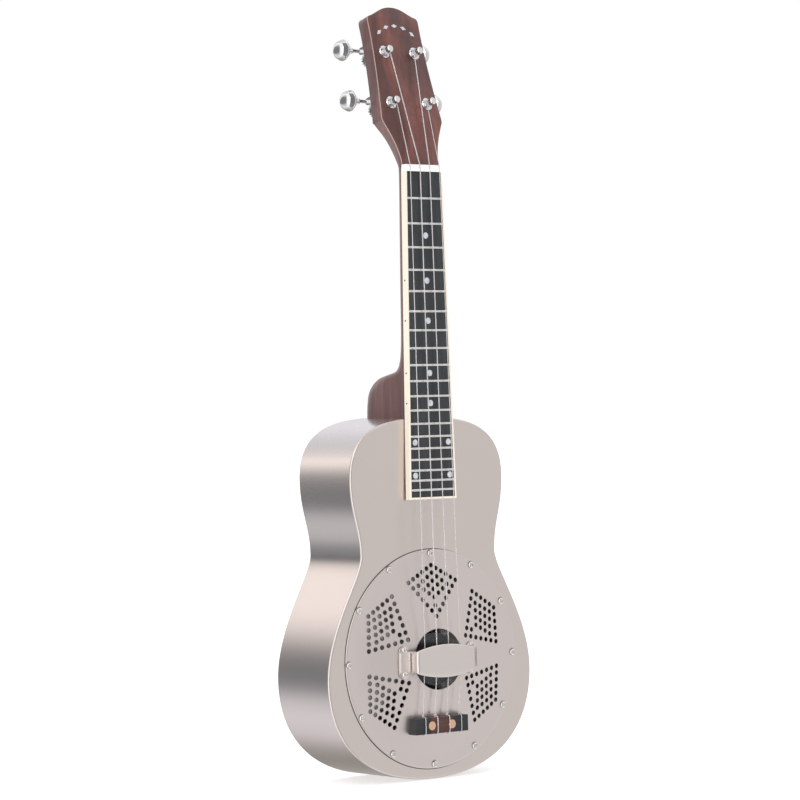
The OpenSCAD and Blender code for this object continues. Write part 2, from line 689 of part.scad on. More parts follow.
module gear_of(i) {
    color(steel) on_post(i) translate([0, 0, worm_h]) difference() {
        slab(-gear_t / 2, gear_t / 2) union() {
            circle(gear_root_r + 0.05);
            for (k = [0:gear_teeth - 1]) rotate(360 * k / gear_teeth)
                polygon([[-tooth_corner(gear_root_r), gear_root_r - 0.3],
                         [tooth_corner(gear_root_r), gear_root_r - 0.3],
                         [tooth_corner(gear_root_r), gear_root_r], [tooth_corner(gear_tip_r), gear_tip_r],
                         [-tooth_corner(gear_tip_r), gear_tip_r], [-tooth_corner(gear_root_r), gear_root_r]]);
        }
        pin(1.6, -gear_t, gear_t);
    }
}
module gear_screw_of(i) {
    color(chrome) on_post(i) translate([0, 0, worm_h - 1.5]) mirror([0, 0, 1]) pan_screw(2.4, 1.4, 0.8, 4.5);
}
// Thread of the worm: a right-hand helix about X, with a groove towards the wheel at x = 0
worm_half = 0.45;
thread_turns = 2 * worm_half_len / worm_lead;
function thread_ring(k) =
    let (a = 360 * k / thread_steps, x = worm_lead * a / 360 - worm_half_len,
         phase = 180 + 360 * (0.5 - worm_half_len / worm_lead),
         end = min(1, k / 4, (thread_turns * thread_steps - k) / 4),
         tip = lerp(worm_root_r + 0.05, worm_tip_r, max(end, 0)), root = worm_root_r - 0.1,
         wide = worm_half - (root - worm_pitch_r) * flank, thin = worm_half - (tip - worm_pitch_r) * flank)
    [for (c = [[x - wide, root], [x + wide, root], [x + thin, tip], [x - thin, tip]])
        [c[0], c[1] * cos(a + phase), c[1] * sin(a + phase)]];
module worm_shaft_of(i) {
    steps = floor(thread_turns * thread_steps);
    color(chrome) on_post(i) translate([0, worm_up, worm_h]) union() {
        rotate([0, 90, 0]) pin(worm_root_r, -ear_x + 0.1, ear_x - 0.1);
        rotate([0, 90, 0]) mirror([0, 0, side(i) < 0 ? 1 : 0]) pin(shaft_r, -ear_x - ear_t - 0.4, knob_rim_x - 2);
        skin([for (k = [0:steps]) thread_ring(k)], 4);
    }
}
module knob_of(i) {
    profile = [[0, 6], [2.6, 5.7], [5, 4.7], [7, 3], [8.2, 1.2], [knob_r, -0.3], [knob_r, -1.3],
               [knob_r - 0.6, -1.9], [5.4, -5.4], [3, -8.4], [2.5, -10.4], [0, -10.4]];
    color(chrome) on_post(i) translate([side(i) * knob_rim_x, worm_up, worm_h]) rotate([0, side(i) * 90, 0])
        difference() {
            rotate_extrude() polygon(profile);
            pin(shaft_r, -12, -2);
        }
}
module post_ferrules() {
    color(chrome) for (i = [0:3]) on_post(i) difference() {
        rotate_extrude() polygon([[0, face_h - 8], [ferrule_r, face_h - 8], [ferrule_r, face_h], [5.1, face_h],
                                  [5.1, face_h + 0.6], [4.4, face_h + 1.1], [0, face_h + 1.1]]);
        pin(plate_hole_r, face_h - 9, face_h + 2);
    }
}
module tuner_plates() {
    plate_front = head_back_h - 1;
    color(chrome) for (i = [0:3]) on_post(i) difference() {
        union() {
            slab(plate_front, head_back_h) round_plate(13, -10, 15.6);
            for (s = [-1, 1]) translate([s * (ear_x + ear_t / 2), worm_up, worm_h])
                rotate([0, 90, 0]) linear_extrude(ear_t, center = true) union() {
                    circle(2.9);
                    translate([worm_h - head_back_h, -2.9]) square([head_back_h - worm_h, 5.8]);
                }
        }
        pin(plate_hole_r, plate_front - 1, head_back_h + 1);
        for (s = tuner_screw_places) at([0, s]) pin(1.1, plate_front - 1, head_back_h + 1);
        translate([-10, worm_up, worm_h]) rotate([0, 90, 0]) cylinder(r = shaft_r + 0.06, h = 20);
    }
}
module tuner_screws() {
    color(chrome) for (i = [0:3], s = tuner_screw_places)
        on_post(i) translate([0, s, head_back_h - 1]) mirror([0, 0, 1]) pan_screw(2, 1.1, 1, 6.5);
}

body_front();
body_sides();
body_back();
soundwell();
heel_block();
neck_bolts();
neck_stick();
stick_supports();
resonator_cone();
biscuit();
biscuit_screw();
saddle();
cover_plate();
cover_screws();
palm_rest();
palm_rest_screws();
tie_block();
tie_block_screws();
tie_block_plugs();
neck();
fingerboard();
fingerboard_binding();
frets();
position_dots();
side_dots();
nut();
headstock_veneer();
headstock_inlay();
post_ferrules();
tuner_plates();
tuner_screws();
for (i = [0:3]) {
    string_of(i);
    winding_of(i);
    post_of(i);
    gear_of(i);
    gear_screw_of(i);
    worm_shaft_of(i);
    knob_of(i);
}
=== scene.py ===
"""Metal-body resonator ukulele: the looks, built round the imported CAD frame.

Lengths are in millimetres until a mesh is made.
"""
import json
import math

import bmesh
import bpy
from mathutils import Matrix, Vector
from mathutils.geometry import interpolate_bezier


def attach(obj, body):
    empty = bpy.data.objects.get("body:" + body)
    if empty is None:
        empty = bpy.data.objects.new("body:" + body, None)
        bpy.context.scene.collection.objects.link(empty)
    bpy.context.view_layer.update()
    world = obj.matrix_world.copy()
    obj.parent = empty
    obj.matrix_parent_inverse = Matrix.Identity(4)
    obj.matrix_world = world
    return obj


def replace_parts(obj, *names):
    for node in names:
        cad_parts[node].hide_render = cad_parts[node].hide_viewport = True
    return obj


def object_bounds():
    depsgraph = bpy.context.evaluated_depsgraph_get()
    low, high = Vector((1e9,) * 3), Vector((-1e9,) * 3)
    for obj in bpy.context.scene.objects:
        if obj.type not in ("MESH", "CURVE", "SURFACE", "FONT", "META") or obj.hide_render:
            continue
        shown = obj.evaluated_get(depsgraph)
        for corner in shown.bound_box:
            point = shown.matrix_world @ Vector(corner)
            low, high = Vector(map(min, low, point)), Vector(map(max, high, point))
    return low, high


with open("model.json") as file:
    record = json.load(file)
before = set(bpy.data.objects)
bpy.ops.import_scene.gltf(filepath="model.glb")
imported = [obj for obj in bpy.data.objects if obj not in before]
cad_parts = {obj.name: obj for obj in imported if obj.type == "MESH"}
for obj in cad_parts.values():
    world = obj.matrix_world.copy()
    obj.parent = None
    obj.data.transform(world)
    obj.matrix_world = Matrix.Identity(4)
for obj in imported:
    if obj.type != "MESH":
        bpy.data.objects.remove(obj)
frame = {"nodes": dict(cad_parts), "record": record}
cad_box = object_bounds()
NODES = frame["nodes"]
MM = 0.001
ROOT = "instrument"

# ---------------------------------------------------------------- frames, as in the CAD
BODY_H, PLATE_Z = 1.7, -388.9
BODY_TOP, BODY_END = 193.3, 193.3 - 289
SHEET, DEPTH, EDGE_R, WELL_R = 1.2, 67.0, 1.6, 77.2
PLATE_R, MIDDLE_R, PERFORATION_R, PLUG_HOLE_R = 87.5, 24.2, 1.95, 1.5
SEAM_R, LIP_R = 88.3, 87.15
COVER_SCREWS, SCREW_RING = 12, 84.2
PLUG_X = 10.35
STRAP_HALF, STRAP_U, STRAP_TOP, STRAP_FOOT, STRAP_BEND = 29.8, -0.7, 19.2, 8.3, 1.9
STRAP_T, STRAP_END_W, STRAP_MID_W = 1.2, 8.8, 13.2
FOOT_R, FOOT_STRAIGHT, FOOT_H, FOOT_TILT, RIB_X = 4.8, 8.2, 8.2, 7.3, 4.2
SCALE, NUT_HW, BOARD_WIDENS, BOARD_LEN, BOARD_H = 381, 19, 5, 261.4, 5.3
NUT_GAP, SADDLE_GAP, TIE_GAP = 10, 12.2, 12.3
HEAD_LEAN, NECK_LEAN = math.radians(15), math.radians(0.7)


def leaning(angle):
    """Matrix from (across, up the neck, height towards the player) to the row frame."""
    c, s = math.cos(angle), math.sin(angle)
    return Matrix(((1, 0, 0, 0), (0, s, -c, 0), (0, c, s, 0), (0, 0, 0, 1)))


ON_BODY = Matrix(((1, 0, 0, 0), (0, 0, -1, -BODY_H), (0, 1, 0, PLATE_Z), (0, 0, 0, 1)))
ON_NECK = leaning(NECK_LEAN)
ON_HEAD = leaning(HEAD_LEAN)
STRINGS = "gcea"
SIDE = (-1, -1, 1, 1)
LOWER, UPPER = (18.4, 57.0), (15.4, 100.1)
POSTS = (LOWER, UPPER, UPPER, LOWER)
STRING_D = (0.72, 0.94, 0.86, 0.64)
HEAD_RISE, VENEER_T, HEAD_T = 2.32, 1.2, 11.8
FACE_H, BACK_H = HEAD_RISE + VENEER_T, HEAD_RISE - HEAD_T
WORM_UP, WORM_H = 8.2, BACK_H - 8.5
KNOB_X = 25.5
WINDING_H, WINDING_R = FACE_H + 3.5, 2.4
TIE_H, TIE_U, TIE_W = 11.6, -52.2, 12.8
SADDLE_TOP, SADDLE_U = 14.1, 3.3


def on_post(i):
    return ON_HEAD @ Matrix.Translation((SIDE[i] * POSTS[i][0], POSTS[i][1], 0))


# ---------------------------------------------------------------- camera
def add_camera():
    """The photograph's camera, as fitted to the frets and the cover screws."""
    az, el, roll = (math.radians(v) for v in (-38.8546, -0.1011, -1.2641))
    back = Vector((math.sin(az) * math.cos(el), -math.cos(az) * math.cos(el), math.sin(el)))
    right = (-back).cross(Vector((0, 0, 1))).normalized()
    up = right.cross(-back)
    turned_right = math.cos(roll) * right + math.sin(roll) * up
    turned_up = -math.sin(roll) * right + math.cos(roll) * up
    aim, distance = Vector((-26.59, -1.7, -181.82)), 2625.54
    place = aim + back * distance
    data = bpy.data.cameras.new("camera")
    data.sensor_width, data.lens = 36.0, 148.81
    data.clip_start, data.clip_end = 0.05, 60
    cam = bpy.data.objects.new("camera", data)
    basis = Matrix((turned_right, turned_up, back)).transposed().to_4x4()
    cam.matrix_world = Matrix.Translation(place * MM) @ basis
    bpy.context.scene.collection.objects.link(cam)
    bpy.context.scene.camera = cam


add_camera()


# ---------------------------------------------------------------- node materials
class Graph:
    """A small wrapper that keeps the node graphs below readable."""

    def __init__(self, tree):
        self.tree = tree

    def node(self, kind, **values):
        n = self.tree.nodes.new(kind)
        for key, value in values.items():
            if hasattr(n, key):
                setattr(n, key, value)
            else:
                n.inputs[key].default_value = value
        return n

    def link(self, a, b):
        self.tree.links.new(a, b)

    def feed(self, n, index, value):
        """Sets an input of a node to a number or a colour, or links an output to it."""
        if isinstance(value, tuple):
            n.inputs[index].default_value = (*value, 1)
        elif isinstance(value, (float, int)):
            n.inputs[index].default_value = value
        else:
            self.link(value, n.inputs[index])

    def math(self, op, a, b=0.0, clamp=False):
        n = self.node("ShaderNodeMath", operation=op, use_clamp=clamp)
        self.feed(n, 0, a)
        self.feed(n, 1, b)
        return n.outputs[0]

    def mix(self, fac, a, b):
        n = self.node("ShaderNodeMix", data_type="RGBA")
        for value, index in ((fac, 0), (a, 6), (b, 7)):
            self.feed(n, index, value)
        return n.outputs[2]

    def ramp(self, fac, *stops):
        n = self.node("ShaderNodeValToRGB")
        bar = n.color_ramp.elements
        while len(bar) < len(stops):
            bar.new(0.5)
        for e, (place, colour) in zip(bar, stops):
            e.position = place
            e.color = (*colour, 1) if isinstance(colour, tuple) else (colour, colour, colour, 1)
        self.link(fac, n.inputs["Fac"])
        return n.outputs["Color"]


class Mat(Graph):
    """A material's graph, with its principled shader."""

    def __init__(self, name, **sockets):
        self.material = bpy.data.materials.new(name)
        self.material.use_nodes = True
        super().__init__(self.material.node_tree)
        self.shader = self.tree.nodes["Principled BSDF"]
        for key, value in sockets.items():
            self.feed(self.shader, key.replace("_", " "), value)

    def coords(self, scale=(1, 1, 1)):
        """Object coordinates in the row frame, stretched by scale."""
        where = self.node("ShaderNodeTexCoord")
        mapping = self.node("ShaderNodeMapping")
        mapping.inputs["Scale"].default_value = scale
        self.link(where.outputs["Object"], mapping.inputs["Vector"])
        return mapping.outputs["Vector"]

    def noise(self, scale, stretch=(1, 1, 1), detail=4, rough=0.5, distortion=0.0):
        n = self.node("ShaderNodeTexNoise", Scale=scale, Detail=detail, Roughness=rough, Distortion=distortion)
        self.link(self.coords(stretch), n.inputs["Vector"])
        return n.outputs["Fac"]

    def axis(self, index):
        n = self.node("ShaderNodeSeparateXYZ")
        self.link(self.coords(), n.inputs[0])
        return n.outputs[index]

    def plate_radius(self, shift=0.0):
        """Distance from the cover plate's axis, moved up and left by shift, in millimetres."""
        across = self.math("ADD", self.axis(0), shift * MM)
        along = self.math("SUBTRACT", self.axis(2), (PLATE_Z + shift) * MM)
        square = self.math("ADD", self.math("POWER", across, 2.0), self.math("POWER", along, 2.0))
        return self.math("DIVIDE", self.math("SQRT", square), MM)

    def screw_distance(self, shift):
        """Distance from the nearest cover-plate screw, moved up and left by shift, in millimetres."""
        across = self.math("ADD", self.axis(0), shift * MM)
        angle = self.math("ARCTAN2", across, self.math("SUBTRACT", self.axis(2), (PLATE_Z + shift) * MM))
        apart = 2 * math.pi / COVER_SCREWS
        share = self.math("FRACT", self.math("ADD", self.math("DIVIDE", angle, apart), 6.5))
        angle = self.math("MULTIPLY", self.math("SUBTRACT", share, 0.5), apart)
        radius = self.plate_radius(shift)
        along = self.math("POWER", self.math("MULTIPLY", radius, self.math("SINE", angle)), 2.0)
        out = self.math("SUBTRACT", self.math("MULTIPLY", radius, self.math("COSINE", angle)), SCREW_RING)
        return self.math("SQRT", self.math("ADD", along, self.math("POWER", self.math("ABSOLUTE", out), 2.0)))

    def along(self, index, start, end):
        """From 0 to 1 as the coordinate goes from start to end, in millimetres."""
        place = self.math("SUBTRACT", self.axis(index), start * MM)
        return self.math("DIVIDE", place, (end - start) * MM, clamp=True)

    def band(self, value, low, high, soft):
        """1 where value lies between low and high, with soft edges."""
        rise = self.math("DIVIDE", self.math("SUBTRACT", value, low), soft, clamp=True)
        fall = self.math("DIVIDE", self.math("SUBTRACT", high, value), soft, clamp=True)
        return self.math("MULTIPLY", rise, fall)

    def bump(self, height, strength, distance=0.0002, over=None):
        n = self.node("ShaderNodeBump", Strength=strength, Distance=distance)
        self.link(height, n.inputs["Height"])
        if over:
            self.link(over, n.inputs["Normal"])
        self.link(n.outputs["Normal"], self.shader.inputs["Normal"])
        return n.outputs["Normal"]

    def lean(self, slope, start=-291, soft=34):
        """Tips the shading towards the neck by slope above a height, easing in over soft."""
        up = self.math("SUBTRACT", self.axis(2), start * MM)
        rise = self.math("POWER", self.math("DIVIDE", up, soft * MM, clamp=True), 2.0)
        past = self.math("MAXIMUM", self.math("SUBTRACT", up, soft * MM), 0.0)
        height = self.math("ADD", self.math("MULTIPLY", rise, soft * MM / 2), past)
        return self.bump(self.math("MULTIPLY", height, -slope), 1.0, 1.0)

    def colour(self, output):
        self.link(output, self.shader.inputs["Base Color"])

    def roughness(self, output):
        self.link(output, self.shader.inputs["Roughness"])


# The first colour is painted shade for the plate's seam and round its screws; the second is a painted highlight on the
# plate's lip.
PAINTED_SHADE, PAINTED_HIGHLIGHT = (0.16, 0.14, 0.13), (1.0, 0.98, 0.97)


def satin_nickel(name, light, dark, rough, seam=None, screws=False, brushing=0.35, lean=0.0):
    """Bead-blasted nickel, faintly brushed and clouded, with painted shade in the plate's seam, painted shadows round
    its screws and a painted highlight on the plate's lip.

    lean tips the shading of the upper bout towards the neck, as a slope, which moves the studio's
    reflections down it.
    """
    m = Mat(name, Metallic=1.0)
    cloud = m.noise(9, detail=3)
    brush = m.noise(60, (1, 1, 30), detail=5, rough=0.65)
    tone = m.mix(cloud, dark, light)
    if seam:
        # Painted shade: a dark ring just outside the cover plate's rim, fading out towards the right, stands in for
        # the shadow in the seam.
        edge = m.band(m.plate_radius(), -90.0, seam, 0.2)
        tone = m.mix(m.math("MULTIPLY", edge, m.along(0, 35, 5)), tone, PAINTED_SHADE)
    if screws:
        # Painted shadows: a dark crescent round each cover screw, shifted up and to the left, stands in for the
        # screws' shadows.
        ring = m.math("MULTIPLY", m.band(m.screw_distance(0.5), 0.0, 3.2, 0.5), 0.7)
        tone = m.mix(ring, tone, PAINTED_SHADE)
        # Painted highlight: the plate's lip is lightened on the right, more so lower down, in place of a reflection.
        lip_highlight_mask = m.math("MULTIPLY", m.math("GREATER_THAN", m.plate_radius(), LIP_R), m.along(0, 12, 32))
        low = m.math("MULTIPLY", m.along(2, PLATE_Z - 5, PLATE_Z - 40), 0.8)
        tone = m.mix(m.math("MULTIPLY", lip_highlight_mask, m.math("ADD", low, 0.2)), tone, PAINTED_HIGHLIGHT)
    m.colour(tone)
    m.roughness(m.ramp(m.mix(brushing, cloud, brush), (0.25, rough - 0.05), (0.75, rough + 0.05)))
    tipped = m.lean(lean) if lean else None
    m.bump(m.noise(2600, detail=2), 0.05, 0.00005, tipped)
    return m.material


def polished(name, colour, rough, wear=0.05):
    m = Mat(name, Metallic=1.0)
    spots = m.noise(240, detail=5)
    m.colour(m.mix(spots, colour, tuple(c * 0.9 for c in colour)))
    m.roughness(m.ramp(spots, (0.35, rough), (0.8, rough + wear)))
    m.bump(m.noise(900, detail=3), 0.04, 0.00005)
    return m.material


def spun(name, colour, rough):
    """Sheet aluminium with the fine rings that spinning leaves, and painted shade darkening it towards the right."""
    m = Mat(name, Metallic=1.0)
    rings = m.math("SINE", m.math("MULTIPLY", m.plate_radius(), 9.0))
    clouded = m.mix(m.noise(30), colour, tuple(c * 0.85 for c in colour))
    # Painted shade: the colour darkens towards the right, in place of the shade inside the body.
    m.colour(m.mix(m.math("MULTIPLY", m.along(0, -25, 35), 0.68), clouded, (0.12, 0.12, 0.13)))
    m.roughness(m.ramp(rings, (0.0, rough), (1.0, rough + 0.08)))
    m.bump(rings, 0.2, 0.00005)
    return m.material


def timber(name, dark, mid, light, rough, stretch=(1, 1, 0.06), scale=70, pores=0.25, coat=0.0, stripe=0.0,
           rim=None):
    """Varnished wood with its grain along the neck, open pores, and broad stripes if stripe is above 0.

    rim is a pale colour painted on the sheet's edge, below the headstock's face, as a painted highlight.
    """
    m = Mat(name, Coat_Weight=coat, Coat_Roughness=0.18)
    grain = m.noise(scale, stretch, detail=8, rough=0.6, distortion=0.6)
    fine = m.noise(scale * 9, (1, 1, stretch[2] * 0.5), detail=4, rough=0.7)
    tone = m.ramp(grain, (0.3, dark), (0.5, mid), (0.72, light))
    if stripe:
        broad = m.noise(stripe, (1, 1, 0.03), detail=2, distortion=0.3)
        tone = m.mix(m.ramp(broad, (0.42, 0.0), (0.58, 0.75)), tone, tuple(c * 0.45 for c in dark))
    pore = m.ramp(fine, (0.35, 1.0), (0.5, 0.0))
    tone = m.mix(m.math("MULTIPLY", pore, pores), tone, tuple(c * 0.35 for c in dark))
    # Painted highlight: the sheet's edge below the face takes the pale rim colour.
    if rim:
        height = m.math("ADD", m.math("MULTIPLY", m.axis(1), -math.cos(HEAD_LEAN)),
                        m.math("MULTIPLY", m.axis(2), math.sin(HEAD_LEAN)))
        tone = m.mix(m.math("GREATER_THAN", (FACE_H - 0.12) * MM, height), tone, rim)
    m.colour(tone)
    m.roughness(m.ramp(fine, (0.3, rough + 0.12), (0.7, rough)))
    m.bump(fine, 0.12, 0.0001)
    return m.material


def block_wood(name):
    """Rosewood that runs to nearly black at the block's ends."""
    m = Mat(name, Coat_Weight=0.06, Coat_Roughness=0.2)
    grain = m.noise(160, (0.12, 1, 1), detail=8, rough=0.6, distortion=0.8)
    brown = m.ramp(grain, (0.3, (0.035, 0.012, 0.009)), (0.5, (0.085, 0.026, 0.017)), (0.72, (0.15, 0.05, 0.03)))
    black = m.ramp(grain, (0.3, (0.006, 0.008, 0.010)), (0.75, (0.018, 0.022, 0.025)))
    out = m.math("ADD", m.math("ABSOLUTE", m.axis(0)), m.math("MULTIPLY", grain, 0.006))
    m.colour(m.mix(m.ramp(m.math("MULTIPLY", out, 30.0), (0.36, 0.0), (0.46, 1.0)), brown, black))
    m.roughness(m.ramp(grain, (0.3, 0.45), (0.7, 0.32)))
    m.bump(m.noise(1300, (0.1, 1, 1), detail=4), 0.12, 0.0001)
    return m.material


def plastic(name, colour, shade, rough, scale=90, stretch=(1, 1, 1), **sockets):
    m = Mat(name, **sockets)
    m.colour(m.ramp(m.noise(scale, stretch, detail=3), (0.3, shade), (0.7, colour)))
    m.roughness(m.ramp(m.noise(scale * 4, detail=3), (0.3, rough), (0.7, rough + 0.08)))
    m.bump(m.noise(1500, detail=2), 0.05, 0.00004)
    return m.material


SHEET_TONES = (0.745, 0.68, 0.64), (0.705, 0.64, 0.602)
MATS = {
    "nickel": satin_nickel("nickel", *SHEET_TONES, 0.34, seam=SEAM_R),
    "nickel_back": satin_nickel("nickel_back", *SHEET_TONES, 0.34),
    "nickel_side": satin_nickel("nickel_side", (0.74, 0.685, 0.655), (0.71, 0.655, 0.625), 0.25, lean=0.19),
    "nickel_plate": satin_nickel("nickel_plate", (0.75, 0.685, 0.655), (0.72, 0.655, 0.625), 0.34, screws=True),
    "nickel_edge_soft": satin_nickel("nickel_edge_soft", (0.76, 0.70, 0.665), (0.735, 0.675, 0.64), 0.28,
                                     brushing=0.08),
    "rosewood_block": block_wood("rosewood_block"),
    "chrome": polished("chrome", (0.80, 0.80, 0.80), 0.07),
    "screw_chrome": polished("screw_chrome", (0.82, 0.81, 0.79), 0.1),
    "steel": polished("steel", (0.55, 0.55, 0.56), 0.28),
    "fret": polished("fret", (0.80, 0.79, 0.76), 0.17),
    "copper": polished("copper", (0.86, 0.55, 0.36), 0.2),
    "aluminium": spun("aluminium", (0.80, 0.81, 0.84), 0.2),
    "mahogany": timber("mahogany", (0.094, 0.048, 0.047), (0.161, 0.086, 0.081), (0.222, 0.128, 0.118), 0.34,
                       coat=0.35, pores=0.3),
    "veneer": timber("veneer", (0.095, 0.028, 0.024), (0.175, 0.05, 0.038), (0.27, 0.088, 0.06), 0.33,
                     coat=0.4, stripe=38, pores=0.35, rim=(0.42, 0.30, 0.28)),
    "rosewood": timber("rosewood", (0.03, 0.013, 0.011), (0.085, 0.03, 0.02), (0.16, 0.055, 0.033), 0.38,
                       stretch=(0.12, 1, 1), scale=150, pores=0.4, coat=0.15),
    "ebony": timber("ebony", (0.016, 0.019, 0.022), (0.026, 0.031, 0.034), (0.045, 0.05, 0.054), 0.42,
                    scale=180, pores=0.5),
    "slate": plastic("slate", (0.016, 0.021, 0.025), (0.006, 0.008, 0.010), 0.24,
                     Coat_Weight=0.3, Coat_Roughness=0.12),
    "maple": timber("maple", (0.42, 0.27, 0.15), (0.56, 0.39, 0.23), (0.66, 0.49, 0.31), 0.5, pores=0.1),
    "cream": plastic("cream", (0.93, 0.855, 0.73), (0.89, 0.81, 0.67), 0.28, stretch=(1, 1, 0.1),
                     Coat_Weight=0.3, Coat_Roughness=0.15),
    "bone": plastic("bone", (0.95, 0.945, 0.93), (0.91, 0.90, 0.87), 0.3, scale=160, stretch=(0.2, 1, 1)),
    "pearl": plastic("pearl", (0.70, 0.73, 0.77), (0.42, 0.46, 0.52), 0.2, scale=420,
                     Coat_Weight=0.6, Coat_Roughness=0.08),
    "nylon": plastic("nylon", (0.84, 0.82, 0.82), (0.76, 0.74, 0.75), 0.2, Transmission_Weight=0.4, IOR=1.4),
}
SLOT_MATS = {"nickel_body": "nickel", "spun_aluminium": "aluminium", "chrome_hardware": "chrome",
             "steel_hardware": "steel", "fret_metal": "fret", "mahogany": "mahogany",
             "rosewood": "rosewood", "dark_wood": "ebony", "maple": "maple", "cream_binding": "cream",
             "pearl": "pearl", "bone": "bone", "copper_plug": "copper", "nylon": "nylon"}
OWN_MATS = {"cover_plate": "nickel_plate", "tie_block": "rosewood_block", "biscuit": "slate",
            "headstock_veneer": "veneer"}

for part in frame["record"]["subparts"]:
    node = NODES[part["node"]]
    node.data.materials.clear()
    node.data.materials.append(MATS[OWN_MATS.get(part["node"], SLOT_MATS[part["material_slot"]])])


# ---------------------------------------------------------------- mesh helpers
def shade_smooth(mesh, angle):
    mesh.polygons.foreach_set("use_smooth", [True] * len(mesh.polygons))
    mesh.set_sharp_from_angle(angle=math.radians(angle))


class Shape:
    """Collects vertices and faces, so several loose parts make one piece."""

    def __init__(self):
        self.verts, self.faces = [], []

    def add(self, verts, faces, place=Matrix()):
        start = len(self.verts)
        self.verts += [place @ Vector(v) for v in verts]
        self.faces += [[start + i for i in f] for f in faces]

    def rings(self, rings, place=Matrix(), caps=True, loop=False):
        """A skin over closed rings with equal counts of points."""
        k, n = len(rings[0]), len(rings)
        faces = []
        for j in range(n if loop else n - 1):
            a, b = j * k, ((j + 1) % n) * k
            faces += [[a + i, a + (i + 1) % k, b + (i + 1) % k, b + i] for i in range(k)]
        if caps and not loop:
            faces += [list(range(k))[::-1], [(n - 1) * k + i for i in range(k)]]
        self.add([v for r in rings for v in r], faces, place)

    def lathe(self, profile, place=Matrix(), steps=48, loop=False):
        """profile is (radius, height) from one end to the other, round the local Z axis."""
        rings = [[(r * math.cos(t), r * math.sin(t), h) for t in (2 * math.pi * i / steps for i in range(steps))]
                 for r, h in profile]
        self.rings(rings, place, caps=not loop, loop=loop)

    def tube(self, points, radius, place=Matrix(), sides=12):
        rings, axis = [], None
        for i, p in enumerate(points):
            t = (points[min(i + 1, len(points) - 1)] - points[max(i - 1, 0)]).normalized()
            side = (Vector((1, 0, 0)) if axis is None else axis)
            axis = (side - t * side.dot(t)).normalized()
            other = t.cross(axis)
            rings.append([p + radius * (math.cos(a) * axis + math.sin(a) * other)
                          for a in (2 * math.pi * k / sides for k in range(sides))])
        self.rings(rings, place)

    def mesh(self, name, place=Matrix()):
        """The shape as a mesh in metres, with doubled vertices joined and its faces turned outwards."""
        mesh = bpy.data.meshes.new(name)
        mesh.from_pydata([tuple((place @ v) * MM) for v in self.verts], [], self.faces)
        bm = bmesh.new()
        bm.from_mesh(mesh)
        bmesh.ops.remove_doubles(bm, verts=bm.verts, dist=1e-7)
        bmesh.ops.recalc_face_normals(bm, faces=bm.faces)
        bm.to_mesh(mesh)
        bm.free()
        return mesh

    def make(self, name, material, slot, angle, body=ROOT, place=Matrix()):
        """A finished object: shaded smooth below angle, with its material and body; slot is not used."""
        obj = bpy.data.objects.new(name, self.mesh(name, place))
        bpy.context.scene.collection.objects.link(obj)
        shade_smooth(obj.data, angle)
        obj.data.materials.append(MATS[material])
        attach(obj, body)
        return obj


def arc(centre, radius, start, end, steps):
    """Points round a centre in the plane of a profile, angles in degrees."""
    angles = [math.radians(start + (end - start) * i / steps) for i in range(steps + 1)]
    return [(centre[0] + radius * math.cos(a), centre[1] + radius * math.sin(a)) for a in angles]


def smooth_path(points, each=8):
    """Catmull-Rom curve through points."""
    pts = [Vector(p) for p in points]
    pts = [2 * pts[0] - pts[1]] + pts + [2 * pts[-1] - pts[-2]]
    out = []
    for a, b, c, d in zip(pts, pts[1:], pts[2:], pts[3:]):
        for i in range(each):
            t = i / each
            out.append(0.5 * (2 * b + (c - a) * t + (2 * a - 5 * b + 4 * c - d) * t * t
                              + (3 * b - 3 * c + d - a) * t ** 3))
    return out + [pts[-2]]


# ---------------------------------------------------------------- body shell
def outline_curves():
    """Bezier curves of the outline's right half: upper bout, waist and lower bout, from the top."""
    top, end = BODY_TOP, BODY_END
    ub, w, lb = 78.5, 69.2, 104.3
    zu, zw, zl = top - 48.6, top - 108.8, top - 206.5
    return [((0, top), (53.5, top), (ub, zu + 35), (ub, zu)),
            ((ub, zu), (ub, zu - 26.5), (w, zw + 23.2), (w, zw)),
            ((w, zw), (w, zw - 16.1), (lb, zl + 41.9), (lb, zl)),
            ((lb, zl), (lb, zl - 47.3), (69.8, end), (0, end))]


def body_outline(inset, each=40):
    """Closed outline, from the top clockwise as seen from the front, moved inwards by inset."""
    right = []
    for c in outline_curves():
        pts = [Vector(p) for p in c]
        for i in range(each):
            t = i / each
            u = 1 - t
            p = u ** 3 * pts[0] + 3 * u ** 2 * t * pts[1] + 3 * u * t * t * pts[2] + t ** 3 * pts[3]
            d = u ** 2 * (pts[1] - pts[0]) + 2 * u * t * (pts[2] - pts[1]) + t * t * (pts[3] - pts[2])
            d.normalize()
            right.append(p + inset * Vector((d.y, -d.x)))
    bottom = Vector((0, BODY_END + inset))
    return right + [bottom] + [Vector((-p.x, p.y)) for p in right[:0:-1]]


def at_height(outline, h):
    return [(p.x, p.y, h) for p in outline]


def disc_rings(outer, inner_r, h, steps):
    """Rings that pass from the outline to a circle of inner_r, all at height h."""
    rings = []
    for j in range(1, steps + 1):
        f = j / steps
        ring = []
        for p in outer:
            q = Vector(p[:2]).normalized() * inner_r
            ring.append((p[0] * (1 - f) + q.x * f, p[1] * (1 - f) + q.y * f, h))
        rings.append(ring)
    return rings


